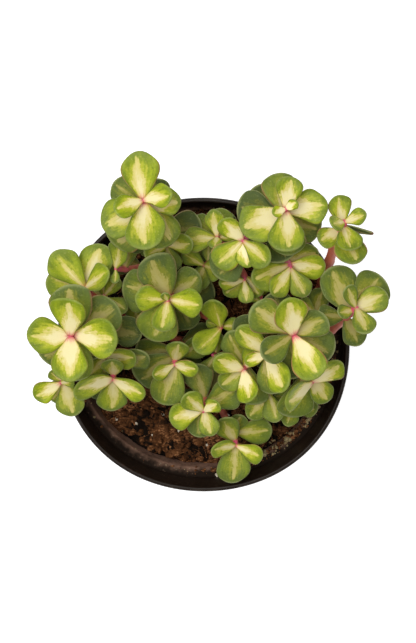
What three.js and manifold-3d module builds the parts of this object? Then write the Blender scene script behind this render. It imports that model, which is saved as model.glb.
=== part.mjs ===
// A potted rainbow bush: a bunch of rooted cuttings of cream and green dwarf jade in a round nursery pot.
// Millimetres, +Z up. The origin is the centre of the pot's flat underside.

import * as THREE from "three";
import { mergeVertices } from "three/addons/utils/BufferGeometryUtils.js";
import Module from "manifold-3d";

const wasm = await Module();
wasm.setup();

// Pot: a thin moulded shell with a tall rim band, a ledge under the band and a tapered wall.
const POT_HEIGHT = 88;
const RIM_RADIUS = 52.5;
const BAND_HEIGHT = 15;
const BAND_FOOT_RADIUS = 51.3;
const SHOULDER_RADIUS = 48.3;
const LEDGE_DROP = 2.5;
const BASE_RADIUS = 37.5;
const BASE_CORNER = 1.5;
const WALL = 1.2;
const LIP_WALL = 1.6;
const LIP_HEIGHT = 2;
const FLOOR = 2;
const POT_FACETS = 56;
const DRAIN_HOLES = 6;
const DRAIN_RADIUS = 4;
const DRAIN_CIRCLE = 27;
const DRAIN_FACETS = 10;

// Soil: fills the pot from the floor to a little above the ledge, lumpy on top.
const CLEARANCE = 0.3;
const SOIL_LEVEL = 70;
const SOIL_MOUND = 2.2;
const SOIL_LUMP = 0.9;
const SOIL_RINGS = 5;
const SOIL_FACETS = 28;
const FOOT_DEPTH = 15;

// Stems: tapered, four-sided, woody and thick at the foot.
const ROUTE_SAMPLES = 20;
const FOOT_RADIUS = 2.2;
const SHOOT_RADIUS = 1.6;
const TIP_RADIUS = 0.95;
const BUD = 0.5;
const BARE_STRETCH = 13;
const BRANCH_RISE = 0.4;

// Leaves: thick pads, widest past the middle, in opposite pairs, each pair turned from the last.
// Drops are lengths down the stem from the top node, pitches are degrees up from square to the stem.
const LEAF_THICKNESS = 1.5;
const LONGEST_LEAF = 16.5;
const SHORTEST_LEAF = 3;
const FLATTEST_PLAN = 0.6;
const GROWN_LEAF = [12, 14.5];
const PAIR_DROP = [1, 3.4, 7.5, 12, 17];
const PAIR_PITCH = [32, 18, 5, -4, -8];
const PAIR_BREADTH = [0.72, 0.79, 0.82, 0.84, 0.84];
const OLD_PAIR_GAP = 9;
const OLD_PAIR_PITCH = -3;
const OLD_PAIR_BREADTH = 0.84;
const OLD_PAIR_TURN = 0.4;
const BARE_FOOT = 9;
const LEAF_CUP = 0.07;
const LEAF_MIDDLE = 0.56;
const LEAF_SOCKET = 0.7;
const LEAF_OUTLINE = [
  [0.26, -0.31],
  [0.58, -0.5],
  [0.87, -0.38],
  [1, 0],
  [0.87, 0.38],
  [0.58, 0.5],
  [0.26, 0.31],
];

// Room: how far leaves keep from each other, from stems, from the soil and from the pot.
const LEAF_ROOM = 1.9;
const STEM_ROOM = 0.6;
const SOIL_ROOM = 1.2;
const RIM_ROOM = 1.2;
const TRIM_GAP = 0.3;

// Ways a leaf bends to find room: degrees of lift and of swing, and its share of its full length.
const WAYS_CLEAR = [
  [0, 0, 1],
  [10, 0, 1],
  [-10, 0, 1],
  [0, 10, 1],
  [0, -10, 1],
  [20, 0, 0.95],
  [-20, 0, 0.95],
  [12, 18, 0.9],
  [12, -18, 0.9],
  [-12, 18, 0.88],
  [-12, -18, 0.88],
  [30, 0, 0.85],
  [-30, 0, 0.85],
  [20, 30, 0.8],
  [20, -30, 0.8],
  [-20, 30, 0.7],
  [-20, -30, 0.7],
  [40, 0, 0.7],
];

// Shoots: each row has the leafy stem it belongs to, its top node, its lean as a compass direction
// and an angle from upright, and where it starts: a place on the soil, or a share of the way along an
// earlier shoot. Tips are where leaf tips lie in plan from the node, two leaves to a pair, youngest
// pair first. Old is how many more pairs grow further down. Broad is the breadth of its leaves beside
// the usual.
const SHOOTS = [
  {
    name: "A", stem: 1, node: [-19.5, 55, 138], lean: [110, 10], foot: [-9, 24], old: 3,
    tips: [[-9, -2.5], [9.5, 3], [-1.5, 15.5], [2, -16], [-13.5, -8.5], [12, 0], [-9, 6], [9, -15],
      [-10, -16]],
  },
  {
    name: "C", stem: 2, node: [-44, 9.5, 132], lean: [180, 8], foot: [-17, 8], old: 3, broad: 1.1,
    tips: [[0, 13.5], [0, -13.5], [17, 0.5], [-14, -0.5], [-1, 17.5], [1, -15.5], [15, 9], [-12, -10]],
  },
  {
    name: "L", stem: 3, node: [30, 10, 134], lean: [-20, 6], foot: [16, 5], old: 3,
    tips: [[-3.5, 14.5], [7.5, -13], [10, 6.5], [-10, -7], [-14, 8.5], [13, -7], [2, -16]],
  },
  {
    name: "S", stem: 4, node: [27, 52, 136], lean: [90, 8], foot: [13, 29], old: 3, broad: 1.05,
    tips: [[-4.5, -1], [3.5, 2.5], [2, 10], [0, -13.5], [13.5, 2], [-14, -8], [-3, 10.5], [2, -16],
      [-15.5, -1], [12, -8]],
  },
  {
    name: "V", stem: 5, node: [46.5, 47.5, 130], lean: [75, 26], foot: [39, 9], old: 0, broad: 1.08,
    tips: [[7, 2.5], [-5, -0.5], [-2.5, 8], [2.5, -9], [3.5, -14], [-8, -7]],
  },
  {
    name: "W", stem: 6, node: [51, 18.5, 126], lean: [60, 24], foot: [35, -5], old: 0,
    tips: [[-3.5, 7], [3.5, -7.5], [10, 4.5], [-6, -2], [10, 8], [-8.5, 12.5], [1.5, -14], [-12, -4.5]],
  },
  {
    name: "H", stem: 7, node: [-12, 20, 122], lean: [-100, 12], foot: [-5, 10], old: 3, broad: 1.1,
    tips: [[-1, 3.2], [-1.5, -9.5], [-10.5, 1.5], [11.5, -1], [-6, 14.5], [-6, -15], [10.5, 8], [-16, 2.5]],
  },
  {
    name: "I", stem: 7, node: [6, 8, 100], lean: [-160, 12], from: ["H", 0.35], old: 0,
    tips: [[-3, 11], [-8.5, -7.5], [6.5, 1], [-5, 2]],
  },
  {
    name: "Q", stem: 8, node: [13, 40.5, 124], lean: [-150, 16], foot: [5, 25], old: 2,
    tips: [[-6.5, 7.5], [9, -6.5], [-8.5, -8.5], [1.5, -9], [-10.5, -14]],
  },
  {
    name: "K", stem: 3, node: [21, 1.5, 120], lean: [-160, 16], from: ["L", 0.35], old: 1, broad: 0.85,
    tips: [[-7, -2], [7, -10], [-9, 9.5], [2, -14.5]],
  },
  {
    name: "J", stem: 9, node: [13.5, -5, 112], lean: [-140, 18], foot: [10, -4], old: 2,
    tips: [[-9.5, 5], [2.5, -9.5], [-7, -6.5], [8, 7], [-5, 12.5], [4, -13], [-12, 6.5]],
  },
  {
    name: "M", stem: 10, node: [37.5, -9, 114], lean: [-50, 30], foot: [25, -4], old: 2,
    tips: [[-10, -4.5], [8.5, 8.5], [6, -6.5], [-4, 7], [-8, -15]],
  },
  {
    name: "T", stem: 4, node: [29.5, 30.5, 116], lean: [-90, 18], from: ["S", 0.3], old: 1,
    tips: [[-6.5, -8.5], [5, -9.5], [11.5, 0], [-12.5, -5], [9, 6]],
  },
  {
    name: "E", stem: 11, node: [-31, -8.5, 112], lean: [-90, 32], foot: [-15, -5], old: 2,
    tips: [[-12.5, -1.5], [11, -4], [-0.5, -11.5], [0.5, 8]],
  },
  {
    name: "F", stem: 11, node: [-33.5, -1, 108], lean: [-40, 20], from: ["E", 0.35], old: 1,
    tips: [[10.5, 0.5], [-6, -5], [2, 8]],
  },
  {
    name: "D", stem: 11, node: [-49, -9.5, 112], lean: [-140, 22], from: ["E", 0.4], old: 2, broad: 1.12,
    tips: [[-8.5, -4.5], [5, 2], [5, -11], [-3.5, 4], [-3, -8]],
  },
  {
    name: "B", stem: 2, node: [-40.5, 23, 108], lean: [120, 30], from: ["C", 0.35], old: 1,
    tips: [[-10, 12.5], [9, 6], [5, 15.5], [-13, 3]],
  },
  {
    name: "R", stem: 8, node: [4.5, 41, 112], lean: [120, 24], from: ["Q", 0.4], old: 1,
    tips: [[-1.5, 9], [0, -5], [-11, -1.5], [8, 2], [-9.5, 3.5], [1.5, 8.5]],
  },
  {
    name: "O", stem: 12, node: [0, -20, 108], lean: [-110, 8], foot: [1, -10], old: 2,
    tips: [[5, 4], [-6, 7], [-11.5, -2], [3, -8.5], [12, 7], [-2, -10], [-2.5, 15]],
  },
  {
    name: "P", stem: 12, node: [11.5, -34.5, 96], lean: [-85, 22], from: ["O", 0.4], old: 0,
    tips: [[-8.5, 0.5], [9, -3], [-0.5, -13.5], [-5, 10.5], [12.5, 5], [1.5, 11]],
  },
  {
    name: "U", stem: 8, node: [14, 25, 104], lean: [-110, 26], from: ["Q", 0.35], old: 0,
    tips: [[-8.5, -0.5], [1, -7.5], [6, -5], [-6.5, -5.5]],
  },
  {
    name: "G", stem: 13, node: [-10, -4.5, 104], lean: [-95, 24], foot: [-5, 0], old: 1,
    tips: [[-7.5, -3], [8, -0.5], [-4, -14], [1.5, 9], [-15, -6.5], [13, 4], [-13.5, 3]],
  },
  {
    name: "N", stem: 10, node: [22.5, -14.5, 100], lean: [-90, 16], from: ["M", 0.35], old: 0,
    tips: [[-6.5, -9], [2.5, -10], [-7, 4], [8, 2]],
  },
  {
    name: "X", stem: 6, node: [39, 13.5, 100], lean: [60, 16], from: ["W", 0.3], old: 0,
    tips: [[7, -4], [-6, 4], [2, 8], [2, -9]],
  },
  {
    name: "Y", stem: 1, node: [-30, 30, 112], lean: [150, 20], from: ["A", 0.3], old: 1,
    tips: [[3, 9], [-3, -6], [7, -4], [-8, 3], [4, 12]],
  },
  {
    name: "Z1", stem: 1, node: [-12, 38, 112], lean: [-20, 20], from: ["A", 0.35], old: 1,
    tips: [[9, 2], [-8, -3], [-1, 8], [2, -9]],
  },
  {
    name: "Z2", stem: 8, node: [0, 30, 102], lean: [180, 16], from: ["R", 0.3], old: 0,
    tips: [[-7, 5], [8, -4], [-3, -8], [4, 8]],
  },
  {
    name: "Z3", stem: 13, node: [-24, 8, 98], lean: [160, 18], from: ["G", 0.45], old: 0,
    tips: [[-8, -3], [8, 4], [-3, 9], [3, -8]],
  },
  {
    name: "Z4", stem: 4, node: [20, 17, 98], lean: [-60, 12], from: ["T", 0.2], old: 0,
    tips: [[7, -2], [-6, 3], [2, 7], [-1, -8]],
  },
  {
    name: "Z5", stem: 9, node: [3, -2, 96], lean: [170, 16], from: ["J", 0.4], old: 0,
    tips: [[-7, 3], [8, -3], [2, 8], [-3, -8]],
  },
  {
    name: "Z6", stem: 10, node: [32, -19, 94], lean: [-80, 16], from: ["N", 0.3], old: 0,
    tips: [[-3, -8], [3, 7], [8, -3], [-7, 2]],
  },
  {
    name: "Z7", stem: 2, node: [-34, 20, 104], lean: [60, 18], from: ["B", 0.3], old: 0,
    tips: [[5, 6], [-5, -6], [8, -5], [-4, 6]],
  },
];
const STEM_COUNT = 13;
const SEED = 20;

const COLOURS = {
  pot: { color: 0x2b2620, roughness: 0.55, metalness: 0 },
  soil: { color: 0x4a2f20, roughness: 0.95, metalness: 0 },
  leafyStem: { color: 0x8fa23f, roughness: 0.45, metalness: 0 },
};

// A repeatable draw between 0 and 1.
function seededDraw(seed) {
  let state = seed;
  return () => {
    state = (state * 48271) % 2147483647;
    return state / 2147483647;
  };
}

const radians = (degrees) => (degrees * Math.PI) / 180;
const vector = (point) => new THREE.Vector3(...point);

// A closed three.js geometry as a solid that can be joined and cut.
function solid(points, triangles) {
  const vertProperties = new Float32Array(points.flatMap((p) => [p.x, p.y, p.z]));
  const triVerts = new Uint32Array(triangles.flat());
  return new wasm.Manifold(new wasm.Mesh({ numProp: 3, vertProperties, triVerts }));
}

// The route of a shoot as evenly drawn samples of one smooth bend, from its start to its top node.
function shootRoute(start, node, axis, rising) {
  const reach = node.distanceTo(start);
  const bend = new THREE.CubicBezierCurve3(
    start,
    start.clone().addScaledVector(rising, reach * 0.4),
    node.clone().addScaledVector(axis, -reach * 0.35),
    node,
  );
  const samples = [];
  for (let i = 0; i <= ROUTE_SAMPLES; i++) samples.push(bend.getPoint(i / ROUTE_SAMPLES));
  return samples;
}

// The point and the direction of a route at a given length back from its top.
function backFromTop(samples, drop) {
  let left = drop;
  for (let i = samples.length - 1; i > 0; i--) {
    const step = samples[i].distanceTo(samples[i - 1]);
    const along = samples[i].clone().sub(samples[i - 1]).normalize();
    if (left <= step || i === 1) return { point: samples[i].clone().addScaledVector(along, -left), along };
    left -= step;
  }
}

function routeLength(samples) {
  let length = 0;
  for (let i = 1; i < samples.length; i++) length += samples[i].distanceTo(samples[i - 1]);
  return length;
}

function leanAxis([compass, angle]) {
  const out = Math.sin(radians(angle));
  return new THREE.Vector3(
    out * Math.cos(radians(compass)),
    out * Math.sin(radians(compass)),
    Math.cos(radians(angle)),
  );
}

// The direction in plan (compass, radians) raised so that it stands at the pitch to the stem's axis.
function pitchedDirection(axis, compass, pitch) {
  const along = axis.x * Math.cos(compass) + axis.y * Math.sin(compass);
  const reach = Math.hypot(along, axis.z);
  const rise = Math.asin(Math.min(1, Math.sin(pitch) / reach)) - Math.atan2(along, axis.z);
  return new THREE.Vector3(
    Math.cos(rise) * Math.cos(compass),
    Math.cos(rise) * Math.sin(compass),
    Math.sin(rise),
  );
}

// A leaf's frame: where it grows from, along it, across it, and its upper face's normal.
function leafFrame(base, direction, axis, length, breadth) {
  const normal = axis.clone().addScaledVector(direction, -axis.dot(direction)).normalize();
  const across = normal.clone().cross(direction);
  return { base, direction, across, normal, length, breadth };
}

function leafPoint(leaf, along, across, up) {
  return leaf.base
    .clone()
    .addScaledVector(leaf.direction, along)
    .addScaledVector(leaf.across, across)
    .addScaledVector(leaf.normal, up);
}

// Places on a blade, as shares of its length and breadth, that stand for it when room is looked for.
const BLADE_PLACES = [
  [0.35, 0],
  [0.55, 0],
  [0.75, 0],
  [0.98, 0],
  [0.4, 0.3],
  [0.4, -0.3],
  [0.65, 0.26],
  [0.65, -0.26],
  [0.66, 0.48],
  [0.66, -0.48],
  [0.88, 0.36],
  [0.88, -0.36],
];

function bladePlaces(leaf) {
  return BLADE_PLACES.map(([along, across]) =>
    leafPoint(leaf, along * leaf.length, across * leaf.breadth, 0),
  );
}

// Whether a point is in the room that a leaf's blade needs.
function inLeafRoom(leaf, point) {
  const from = point.clone().sub(leaf.base);
  if (Math.abs(from.dot(leaf.normal)) > LEAF_ROOM) return false;
  const along = from.dot(leaf.direction) / leaf.length;
  const across = from.dot(leaf.across) / leaf.breadth;
  if (along < 0.2 || along > 1.08) return false;
  return Math.abs(across) < 0.58 * Math.min(1, along * 1.5);
}

function inStemRoom(shoot, point) {
  return shoot.route.some((sample, i) => {
    const radius = shoot.radii[0] + (shoot.radii[1] - shoot.radii[0]) * (i / ROUTE_SAMPLES);
    return sample.distanceTo(point) < radius + STEM_ROOM + LEAF_THICKNESS / 2;
  });
}

function inPotOrSoil(point) {
  const radius = Math.hypot(point.x, point.y);
  if (point.z < SOIL_LEVEL + SOIL_MOUND + SOIL_ROOM) return true;
  return point.z < POT_HEIGHT + RIM_ROOM && radius > BAND_FOOT_RADIUS - WALL - RIM_ROOM;
}

function hasRoom(leaf, grown, shoots) {
  const places = bladePlaces(leaf);
  if (places.some(inPotOrSoil)) return false;
  for (const other of grown) {
    if (other.base.distanceTo(leaf.base) > other.length + leaf.length) continue;
    if (other.shoot === leaf.shoot && other.pair === leaf.pair) continue;
    if (places.some((point) => inLeafRoom(other, point))) return false;
    if (bladePlaces(other).some((point) => inLeafRoom(leaf, point))) return false;
  }
  return shoots.every((shoot) => {
    return shoot === leaf.shoot || !places.some((point) => inStemRoom(shoot, point));
  });
}

// Each shoot with its route: up from the soil, or out of the shoot that it branches from.
function routedShoots() {
  const named = {};
  return SHOOTS.map((row) => {
    const shoot = { ...row, axis: leanAxis(row.lean), leaves: [] };
    const node = vector(shoot.node);
    let start;
    let rising;
    if (shoot.foot) {
      start = new THREE.Vector3(...shoot.foot, SOIL_LEVEL - FOOT_DEPTH);
      rising = new THREE.Vector3(0, 0, 1);
      shoot.radii = [FOOT_RADIUS, TIP_RADIUS];
    } else {
      const [parent, share] = shoot.from;
      start = named[parent].route[Math.round(share * ROUTE_SAMPLES)].clone();
      rising = node.clone().sub(start).normalize();
      rising.z += BRANCH_RISE;
      rising.normalize();
      shoot.radii = [SHOOT_RADIUS, TIP_RADIUS];
    }
    shoot.route = shootRoute(start, node, shoot.axis, rising);
    shoot.length = routeLength(shoot.route);
    named[shoot.name] = shoot;
    return shoot;
  });
}

// The leaves whose tips are given.
function shownLeaves(shoot) {
  return shoot.tips.map((tip, i) => {
    const pair = Math.floor(i / 2);
    const base = backFromTop(shoot.route, PAIR_DROP[pair]).point;
    const across = shoot.node[0] + tip[0] - base.x;
    const up = shoot.node[1] + tip[1] - base.y;
    return {
      base,
      pair,
      drop: PAIR_DROP[pair],
      compass: Math.atan2(up, across),
      plan: Math.hypot(across, up),
      pitch: PAIR_PITCH[pair],
      ratio: PAIR_BREADTH[pair] * (shoot.broad ?? 1),
    };
  });
}

// The older pairs below them, down to the bare foot of the shoot.
function oldLeaves(shoot, draw) {
  const wanted = [];
  const shownPairs = Math.ceil(shoot.tips.length / 2);
  const firstTurn = Math.atan2(shoot.tips[0][1], shoot.tips[0][0]);
  const lowest = shoot.length - BARE_FOOT;
  for (let i = 0; i < shoot.old * 2; i++) {
    const row = Math.floor(i / 2);
    const pair = shownPairs + row;
    const drop = PAIR_DROP[shownPairs - 1] + OLD_PAIR_GAP * (1 + row);
    if (drop > lowest) break;
    const turn = firstTurn + ((pair % 2) + (i % 2) * 2) * (Math.PI / 2);
    wanted.push({
      base: backFromTop(shoot.route, drop).point,
      pair,
      drop,
      compass: turn + (draw() - 0.5) * OLD_PAIR_TURN,
      grown: GROWN_LEAF[0] + (GROWN_LEAF[1] - GROWN_LEAF[0]) * draw(),
      pitch: OLD_PAIR_PITCH,
      ratio: OLD_PAIR_BREADTH,
    });
  }
  return wanted;
}

// Grows one leaf the first way that finds room, and leaves it out where none does.
function growLeaf(shoot, leaf, grown, shoots) {
  for (const [lift, swing, size] of WAYS_CLEAR) {
    const compass = leaf.compass + radians(swing);
    const direction = pitchedDirection(shoot.axis, compass, radians(leaf.pitch + lift));
    const flat = Math.max(FLATTEST_PLAN, Math.hypot(direction.x, direction.y));
    const length = Math.min(LONGEST_LEAF, leaf.grown ?? leaf.plan / flat) * size;
    if (length < SHORTEST_LEAF) return;
    const tried = leafFrame(leaf.base, direction, shoot.axis, length, length * leaf.ratio);
    Object.assign(tried, { shoot, pair: leaf.pair, drop: leaf.drop, compass });
    if (hasRoom(tried, grown, shoots)) {
      grown.push(tried);
      shoot.leaves.push(tried);
      return;
    }
  }
}

function growBush() {
  const draw = seededDraw(SEED);
  const shoots = routedShoots();
  const grown = [];
  for (const shoot of shoots) {
    for (const leaf of shownLeaves(shoot)) growLeaf(shoot, leaf, grown, shoots);
  }
  for (const shoot of shoots) {
    for (const leaf of oldLeaves(shoot, draw)) growLeaf(shoot, leaf, grown, shoots);
  }
  return shoots;
}

// The points of a leaf pad past its socket: the outline and a middle point, on its upper and lower face.
function leafPoints(leaf, spare) {
  const half = LEAF_THICKNESS / 2 + spare;
  const points = [];
  for (const side of [1, -1]) {
    for (const [along, across] of LEAF_OUTLINE) {
      const cup = leaf.breadth * LEAF_CUP * (2 * across) ** 2;
      const out = across * leaf.breadth + Math.sign(across) * spare;
      points.push(leafPoint(leaf, along * leaf.length + spare, out, side * half + cup));
    }
    points.push(leafPoint(leaf, LEAF_MIDDLE * leaf.length, 0, side * half));
  }
  return points;
}

// The triangles of a leaf whose points start at an index, growing out of a socket of four corners: upper
// right, upper left, lower right and lower left.
function leafTriangles(first, [upperRight, upperLeft, lowerRight, lowerLeft]) {
  const count = LEAF_OUTLINE.length;
  const middle = [first + count, first + 2 * count + 1];
  const edge = LEAF_OUTLINE.map((_, i) => first + i);
  const upper = [upperRight, ...edge, upperLeft];
  const lower = [lowerRight, ...edge.map((i) => i + count + 1), lowerLeft];
  const triangles = [
    [upperLeft, upperRight, middle[0]],
    [lowerRight, lowerLeft, middle[1]],
  ];
  for (let i = 0; i < upper.length - 1; i++) {
    triangles.push([upper[i], upper[i + 1], middle[0]], [lower[i + 1], lower[i], middle[1]]);
    triangles.push([upper[i + 1], upper[i], lower[i]], [upper[i + 1], lower[i], lower[i + 1]]);
  }
  return triangles;
}

// Four corners of a stem at a drop from its top, with flat sides towards the first leaves' compass turns.
function stemRing(shoot, drop, spare) {
  const { point, along } = backFromTop(shoot.route, drop);
  const turn = Math.atan2(shoot.tips[0][1], shoot.tips[0][0]);
  const facing = new THREE.Vector3(Math.cos(turn), Math.sin(turn), 0);
  facing.addScaledVector(along, -facing.dot(along)).normalize();
  const beside = along.clone().cross(facing);
  const share = drop / shoot.length;
  const radius = shoot.radii[1] + (shoot.radii[0] - shoot.radii[1]) * share + spare;
  return [0, 1, 2, 3].map((side) => {
    const angle = (side - 0.5) * (Math.PI / 2);
    return point
      .clone()
      .addScaledVector(facing, radius * Math.cos(angle))
      .addScaledVector(beside, radius * Math.sin(angle));
  });
}

// The drops of a shoot's rings from its foot to its top: two at each pair, and some in the bare stretches.
function ringDrops(shoot) {
  const pairs = [...new Set(shoot.leaves.map((leaf) => leaf.drop))].sort((a, b) => a - b);
  const drops = [];
  let above = 0;
  for (const drop of [...pairs, shoot.length]) {
    const bare = Math.floor((drop - above) / BARE_STRETCH);
    for (let i = 1; i <= bare; i++) drops.push(above + ((drop - above) * i) / (bare + 1));
    if (drop === shoot.length) drops.push(drop);
    else drops.push(drop - LEAF_SOCKET, drop + LEAF_SOCKET);
    above = drop;
  }
  return drops.reverse();
}

// One shoot as a single closed skin: a four-sided stem whose sides open into its leaves.
function shootSolid(shoot) {
  const drops = ringDrops(shoot);
  const points = drops.flatMap((drop) => stemRing(shoot, drop, 0));
  const triangles = [
    [0, 2, 1],
    [0, 3, 2],
  ];
  const sockets = new Map();
  const turn = Math.atan2(shoot.tips[0][1], shoot.tips[0][0]);
  for (const leaf of shoot.leaves) {
    const ring = drops.indexOf(leaf.drop + LEAF_SOCKET);
    const nearest = Math.round((leaf.compass - turn) / (Math.PI / 2));
    let side = ((nearest % 4) + 4) % 4;
    if (sockets.has(ring * 4 + side)) side = (side + 2) % 4;
    sockets.set(ring * 4 + side, leaf);
  }
  for (let ring = 0; ring < drops.length - 1; ring++) {
    for (let side = 0; side < 4; side++) {
      const right = ring * 4 + side;
      const left = ring * 4 + ((side + 1) % 4);
      const leaf = sockets.get(right);
      if (leaf) {
        const first = points.length;
        points.push(...leafPoints(leaf, 0));
        triangles.push(...leafTriangles(first, [right + 4, left + 4, right, left]));
      } else {
        triangles.push([right, left, left + 4], [right, left + 4, right + 4]);
      }
    }
  }
  const last = (drops.length - 1) * 4;
  const bud = points.length;
  points.push(vector(shoot.node).addScaledVector(shoot.axis, BUD));
  for (let side = 0; side < 4; side++) triangles.push([last + side, last + ((side + 1) % 4), bud]);
  return solid(points, triangles);
}

// A leaf alone, and a shoot's stem alone, a little larger all round: what others are trimmed clear of.
function leafRoomSolid(leaf, spare) {
  const points = leafPoints(leaf, spare);
  const half = LEAF_THICKNESS / 2 + spare;
  const neck = leaf.breadth * 0.1;
  const first = points.length;
  points.push(leafPoint(leaf, 0, -neck, half), leafPoint(leaf, 0, neck, half));
  points.push(leafPoint(leaf, 0, -neck, -half), leafPoint(leaf, 0, neck, -half));
  const socket = [first, first + 1, first + 2, first + 3];
  const [upperRight, upperLeft, lowerRight, lowerLeft] = socket;
  const back = [
    [upperRight, upperLeft, lowerLeft],
    [upperRight, lowerLeft, lowerRight],
  ];
  return solid(points, [...leafTriangles(0, socket), ...back]);
}

function stemRoomSolid(shoot, spare) {
  const drops = ringDrops({ ...shoot, leaves: [] });
  drops[0] += spare;
  drops.push(-spare);
  const points = drops.flatMap((drop) => stemRing(shoot, drop, spare));
  const triangles = [
    [0, 2, 1],
    [0, 3, 2],
  ];
  for (let ring = 0; ring < drops.length - 1; ring++) {
    for (let side = 0; side < 4; side++) {
      const right = ring * 4 + side;
      const left = ring * 4 + ((side + 1) % 4);
      triangles.push([right, left, left + 4], [right, left + 4, right + 4]);
    }
  }
  const last = (drops.length - 1) * 4;
  triangles.push([last, last + 1, last + 2], [last, last + 2, last + 3]);
  return solid(points, triangles);
}

function largestPiece(shape) {
  return shape.decompose().reduce((a, b) => (a.volume() > b.volume() ? a : b));
}

// The room that one leafy stem takes up, which the others are trimmed clear of.
function stemRoom(shoots) {
  return shoots.flatMap((shoot) => [
    stemRoomSolid(shoot, TRIM_GAP),
    ...shoot.leaves.map((leaf) => leafRoomSolid(leaf, TRIM_GAP)),
  ]);
}

function boxesMeet(a, b) {
  const [p, q] = [a.boundingBox(), b.boundingBox()];
  return [0, 1, 2].every((k) => p.min[k] < q.max[k] && q.min[k] < p.max[k]);
}

// Joins the shoots of each leafy stem in one solid, trimmed clear of the leafy stems made before it.
function leafyStems(bush) {
  const made = [];
  const keptClear = [];
  for (let number = 1; number <= STEM_COUNT; number++) {
    const shoots = bush.filter((shoot) => shoot.stem === number);
    const whole = wasm.Manifold.union(shoots.map(shootSolid));
    const cutters = keptClear.filter(
      (room) => boxesMeet(room, whole) && !room.intersect(whole).isEmpty(),
    );
    const trimmed = cutters.length ? whole.subtract(wasm.Manifold.union(cutters)) : whole;
    made.push(largestPiece(trimmed));
    keptClear.push(...stemRoom(shoots));
  }
  return made;
}

// A three.js geometry as a solid: shared vertices are merged and empty triangles dropped.
function solidOf(geometry) {
  geometry.deleteAttribute("normal");
  geometry.deleteAttribute("uv");
  const merged = mergeVertices(geometry, 1e-4);
  const corners = Array.from(merged.index.array);
  const triangles = [];
  for (let i = 0; i < corners.length; i += 3) {
    const triangle = corners.slice(i, i + 3);
    if (new Set(triangle).size === 3) triangles.push(triangle);
  }
  const position = merged.getAttribute("position");
  const points = [];
  for (let i = 0; i < position.count; i++) {
    points.push(new THREE.Vector3().fromBufferAttribute(position, i));
  }
  return solid(points, triangles);
}

// A profile of [radius, height] points that starts and ends on the axis, turned round it.
function turned(profile, facets) {
  const outline = profile.map(([radius, height]) => new THREE.Vector2(radius, height));
  return new THREE.LatheGeometry(outline, facets).rotateX(Math.PI / 2);
}

const LEDGE_Z = POT_HEIGHT - BAND_HEIGHT;
const INNER_BASE_RADIUS = BASE_RADIUS - WALL;
const INNER_SHOULDER_RADIUS = SHOULDER_RADIUS - WALL;

function pot() {
  const outside = [
    [0, 0],
    [BASE_RADIUS - BASE_CORNER, 0],
    [BASE_RADIUS, BASE_CORNER],
    [SHOULDER_RADIUS, LEDGE_Z - LEDGE_DROP],
    [BAND_FOOT_RADIUS, LEDGE_Z],
    [RIM_RADIUS, POT_HEIGHT - LIP_WALL / 3],
    [RIM_RADIUS - LIP_WALL / 3, POT_HEIGHT],
  ];
  const inside = [
    [RIM_RADIUS - LIP_WALL, POT_HEIGHT],
    [RIM_RADIUS - LIP_WALL, POT_HEIGHT - LIP_HEIGHT],
    [BAND_FOOT_RADIUS - WALL, LEDGE_Z + WALL / 2],
    [INNER_SHOULDER_RADIUS, LEDGE_Z + WALL / 2 - LEDGE_DROP],
    [INNER_BASE_RADIUS, FLOOR],
    [0, FLOOR],
  ];
  let shell = solidOf(turned([...outside, ...inside], POT_FACETS));
  for (let i = 0; i < DRAIN_HOLES; i++) {
    const turn = (i / DRAIN_HOLES) * Math.PI * 2;
    const hole = new THREE.CylinderGeometry(DRAIN_RADIUS, DRAIN_RADIUS, FLOOR * 3, DRAIN_FACETS);
    hole.rotateX(Math.PI / 2);
    hole.translate(DRAIN_CIRCLE * Math.cos(turn), DRAIN_CIRCLE * Math.sin(turn), 0);
    shell = shell.subtract(solidOf(hole));
  }
  return shell;
}

// How high the soil stands at a place: a low mound with lumps that fade out at the wall.
function soilHeight(x, y) {
  const share = Math.min(1, Math.hypot(x, y) / (INNER_SHOULDER_RADIUS - CLEARANCE));
  const lumps = Math.sin(0.31 * x + 1.3) * Math.cos(0.27 * y) + 0.6 * Math.sin(0.55 * x - 0.47 * y);
  return SOIL_LEVEL + (1 - share ** 2) * (SOIL_MOUND + SOIL_LUMP * lumps);
}

function soil(bush) {
  const radius = INNER_SHOULDER_RADIUS - CLEARANCE;
  const top = [];
  for (let ring = 0; ring <= SOIL_RINGS; ring++) {
    top.push([radius * (1 - ring / SOIL_RINGS), SOIL_LEVEL]);
  }
  const bottom = FLOOR + CLEARANCE;
  const profile = [[0, bottom], [INNER_BASE_RADIUS - CLEARANCE, bottom], ...top];
  const fill = turned(profile, SOIL_FACETS);
  const position = fill.getAttribute("position");
  for (let i = 0; i < position.count; i++) {
    if (position.getZ(i) < SOIL_LEVEL - 1) continue;
    position.setZ(i, soilHeight(position.getX(i), position.getY(i)));
  }
  const feet = bush
    .filter((shoot) => shoot.foot)
    .map((shoot) => stemRoomSolid(shoot, CLEARANCE));
  return solidOf(fill).subtract(wasm.Manifold.union(feet));
}

function meshOf(name, shape, look) {
  const { vertProperties, triVerts } = shape.getMesh();
  const geometry = new THREE.BufferGeometry();
  geometry.setAttribute("position", new THREE.BufferAttribute(vertProperties, 3));
  geometry.setIndex(new THREE.BufferAttribute(triVerts, 1));
  geometry.computeVertexNormals();
  const mesh = new THREE.Mesh(geometry, new THREE.MeshStandardMaterial(look));
  mesh.name = name;
  return mesh;
}

const bush = growBush();
const plant = new THREE.Group();
leafyStems(bush).forEach((shape, i) => {
  const number = String(i + 1).padStart(2, "0");
  plant.add(meshOf("leafy_stem_" + number, shape, COLOURS.leafyStem));
});

const pottedBush = new THREE.Group();
pottedBush.add(meshOf("pot", pot(), COLOURS.pot));
pottedBush.add(meshOf("soil", soil(bush), COLOURS.soil));
pottedBush.add(plant);

export default pottedBush;
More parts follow.
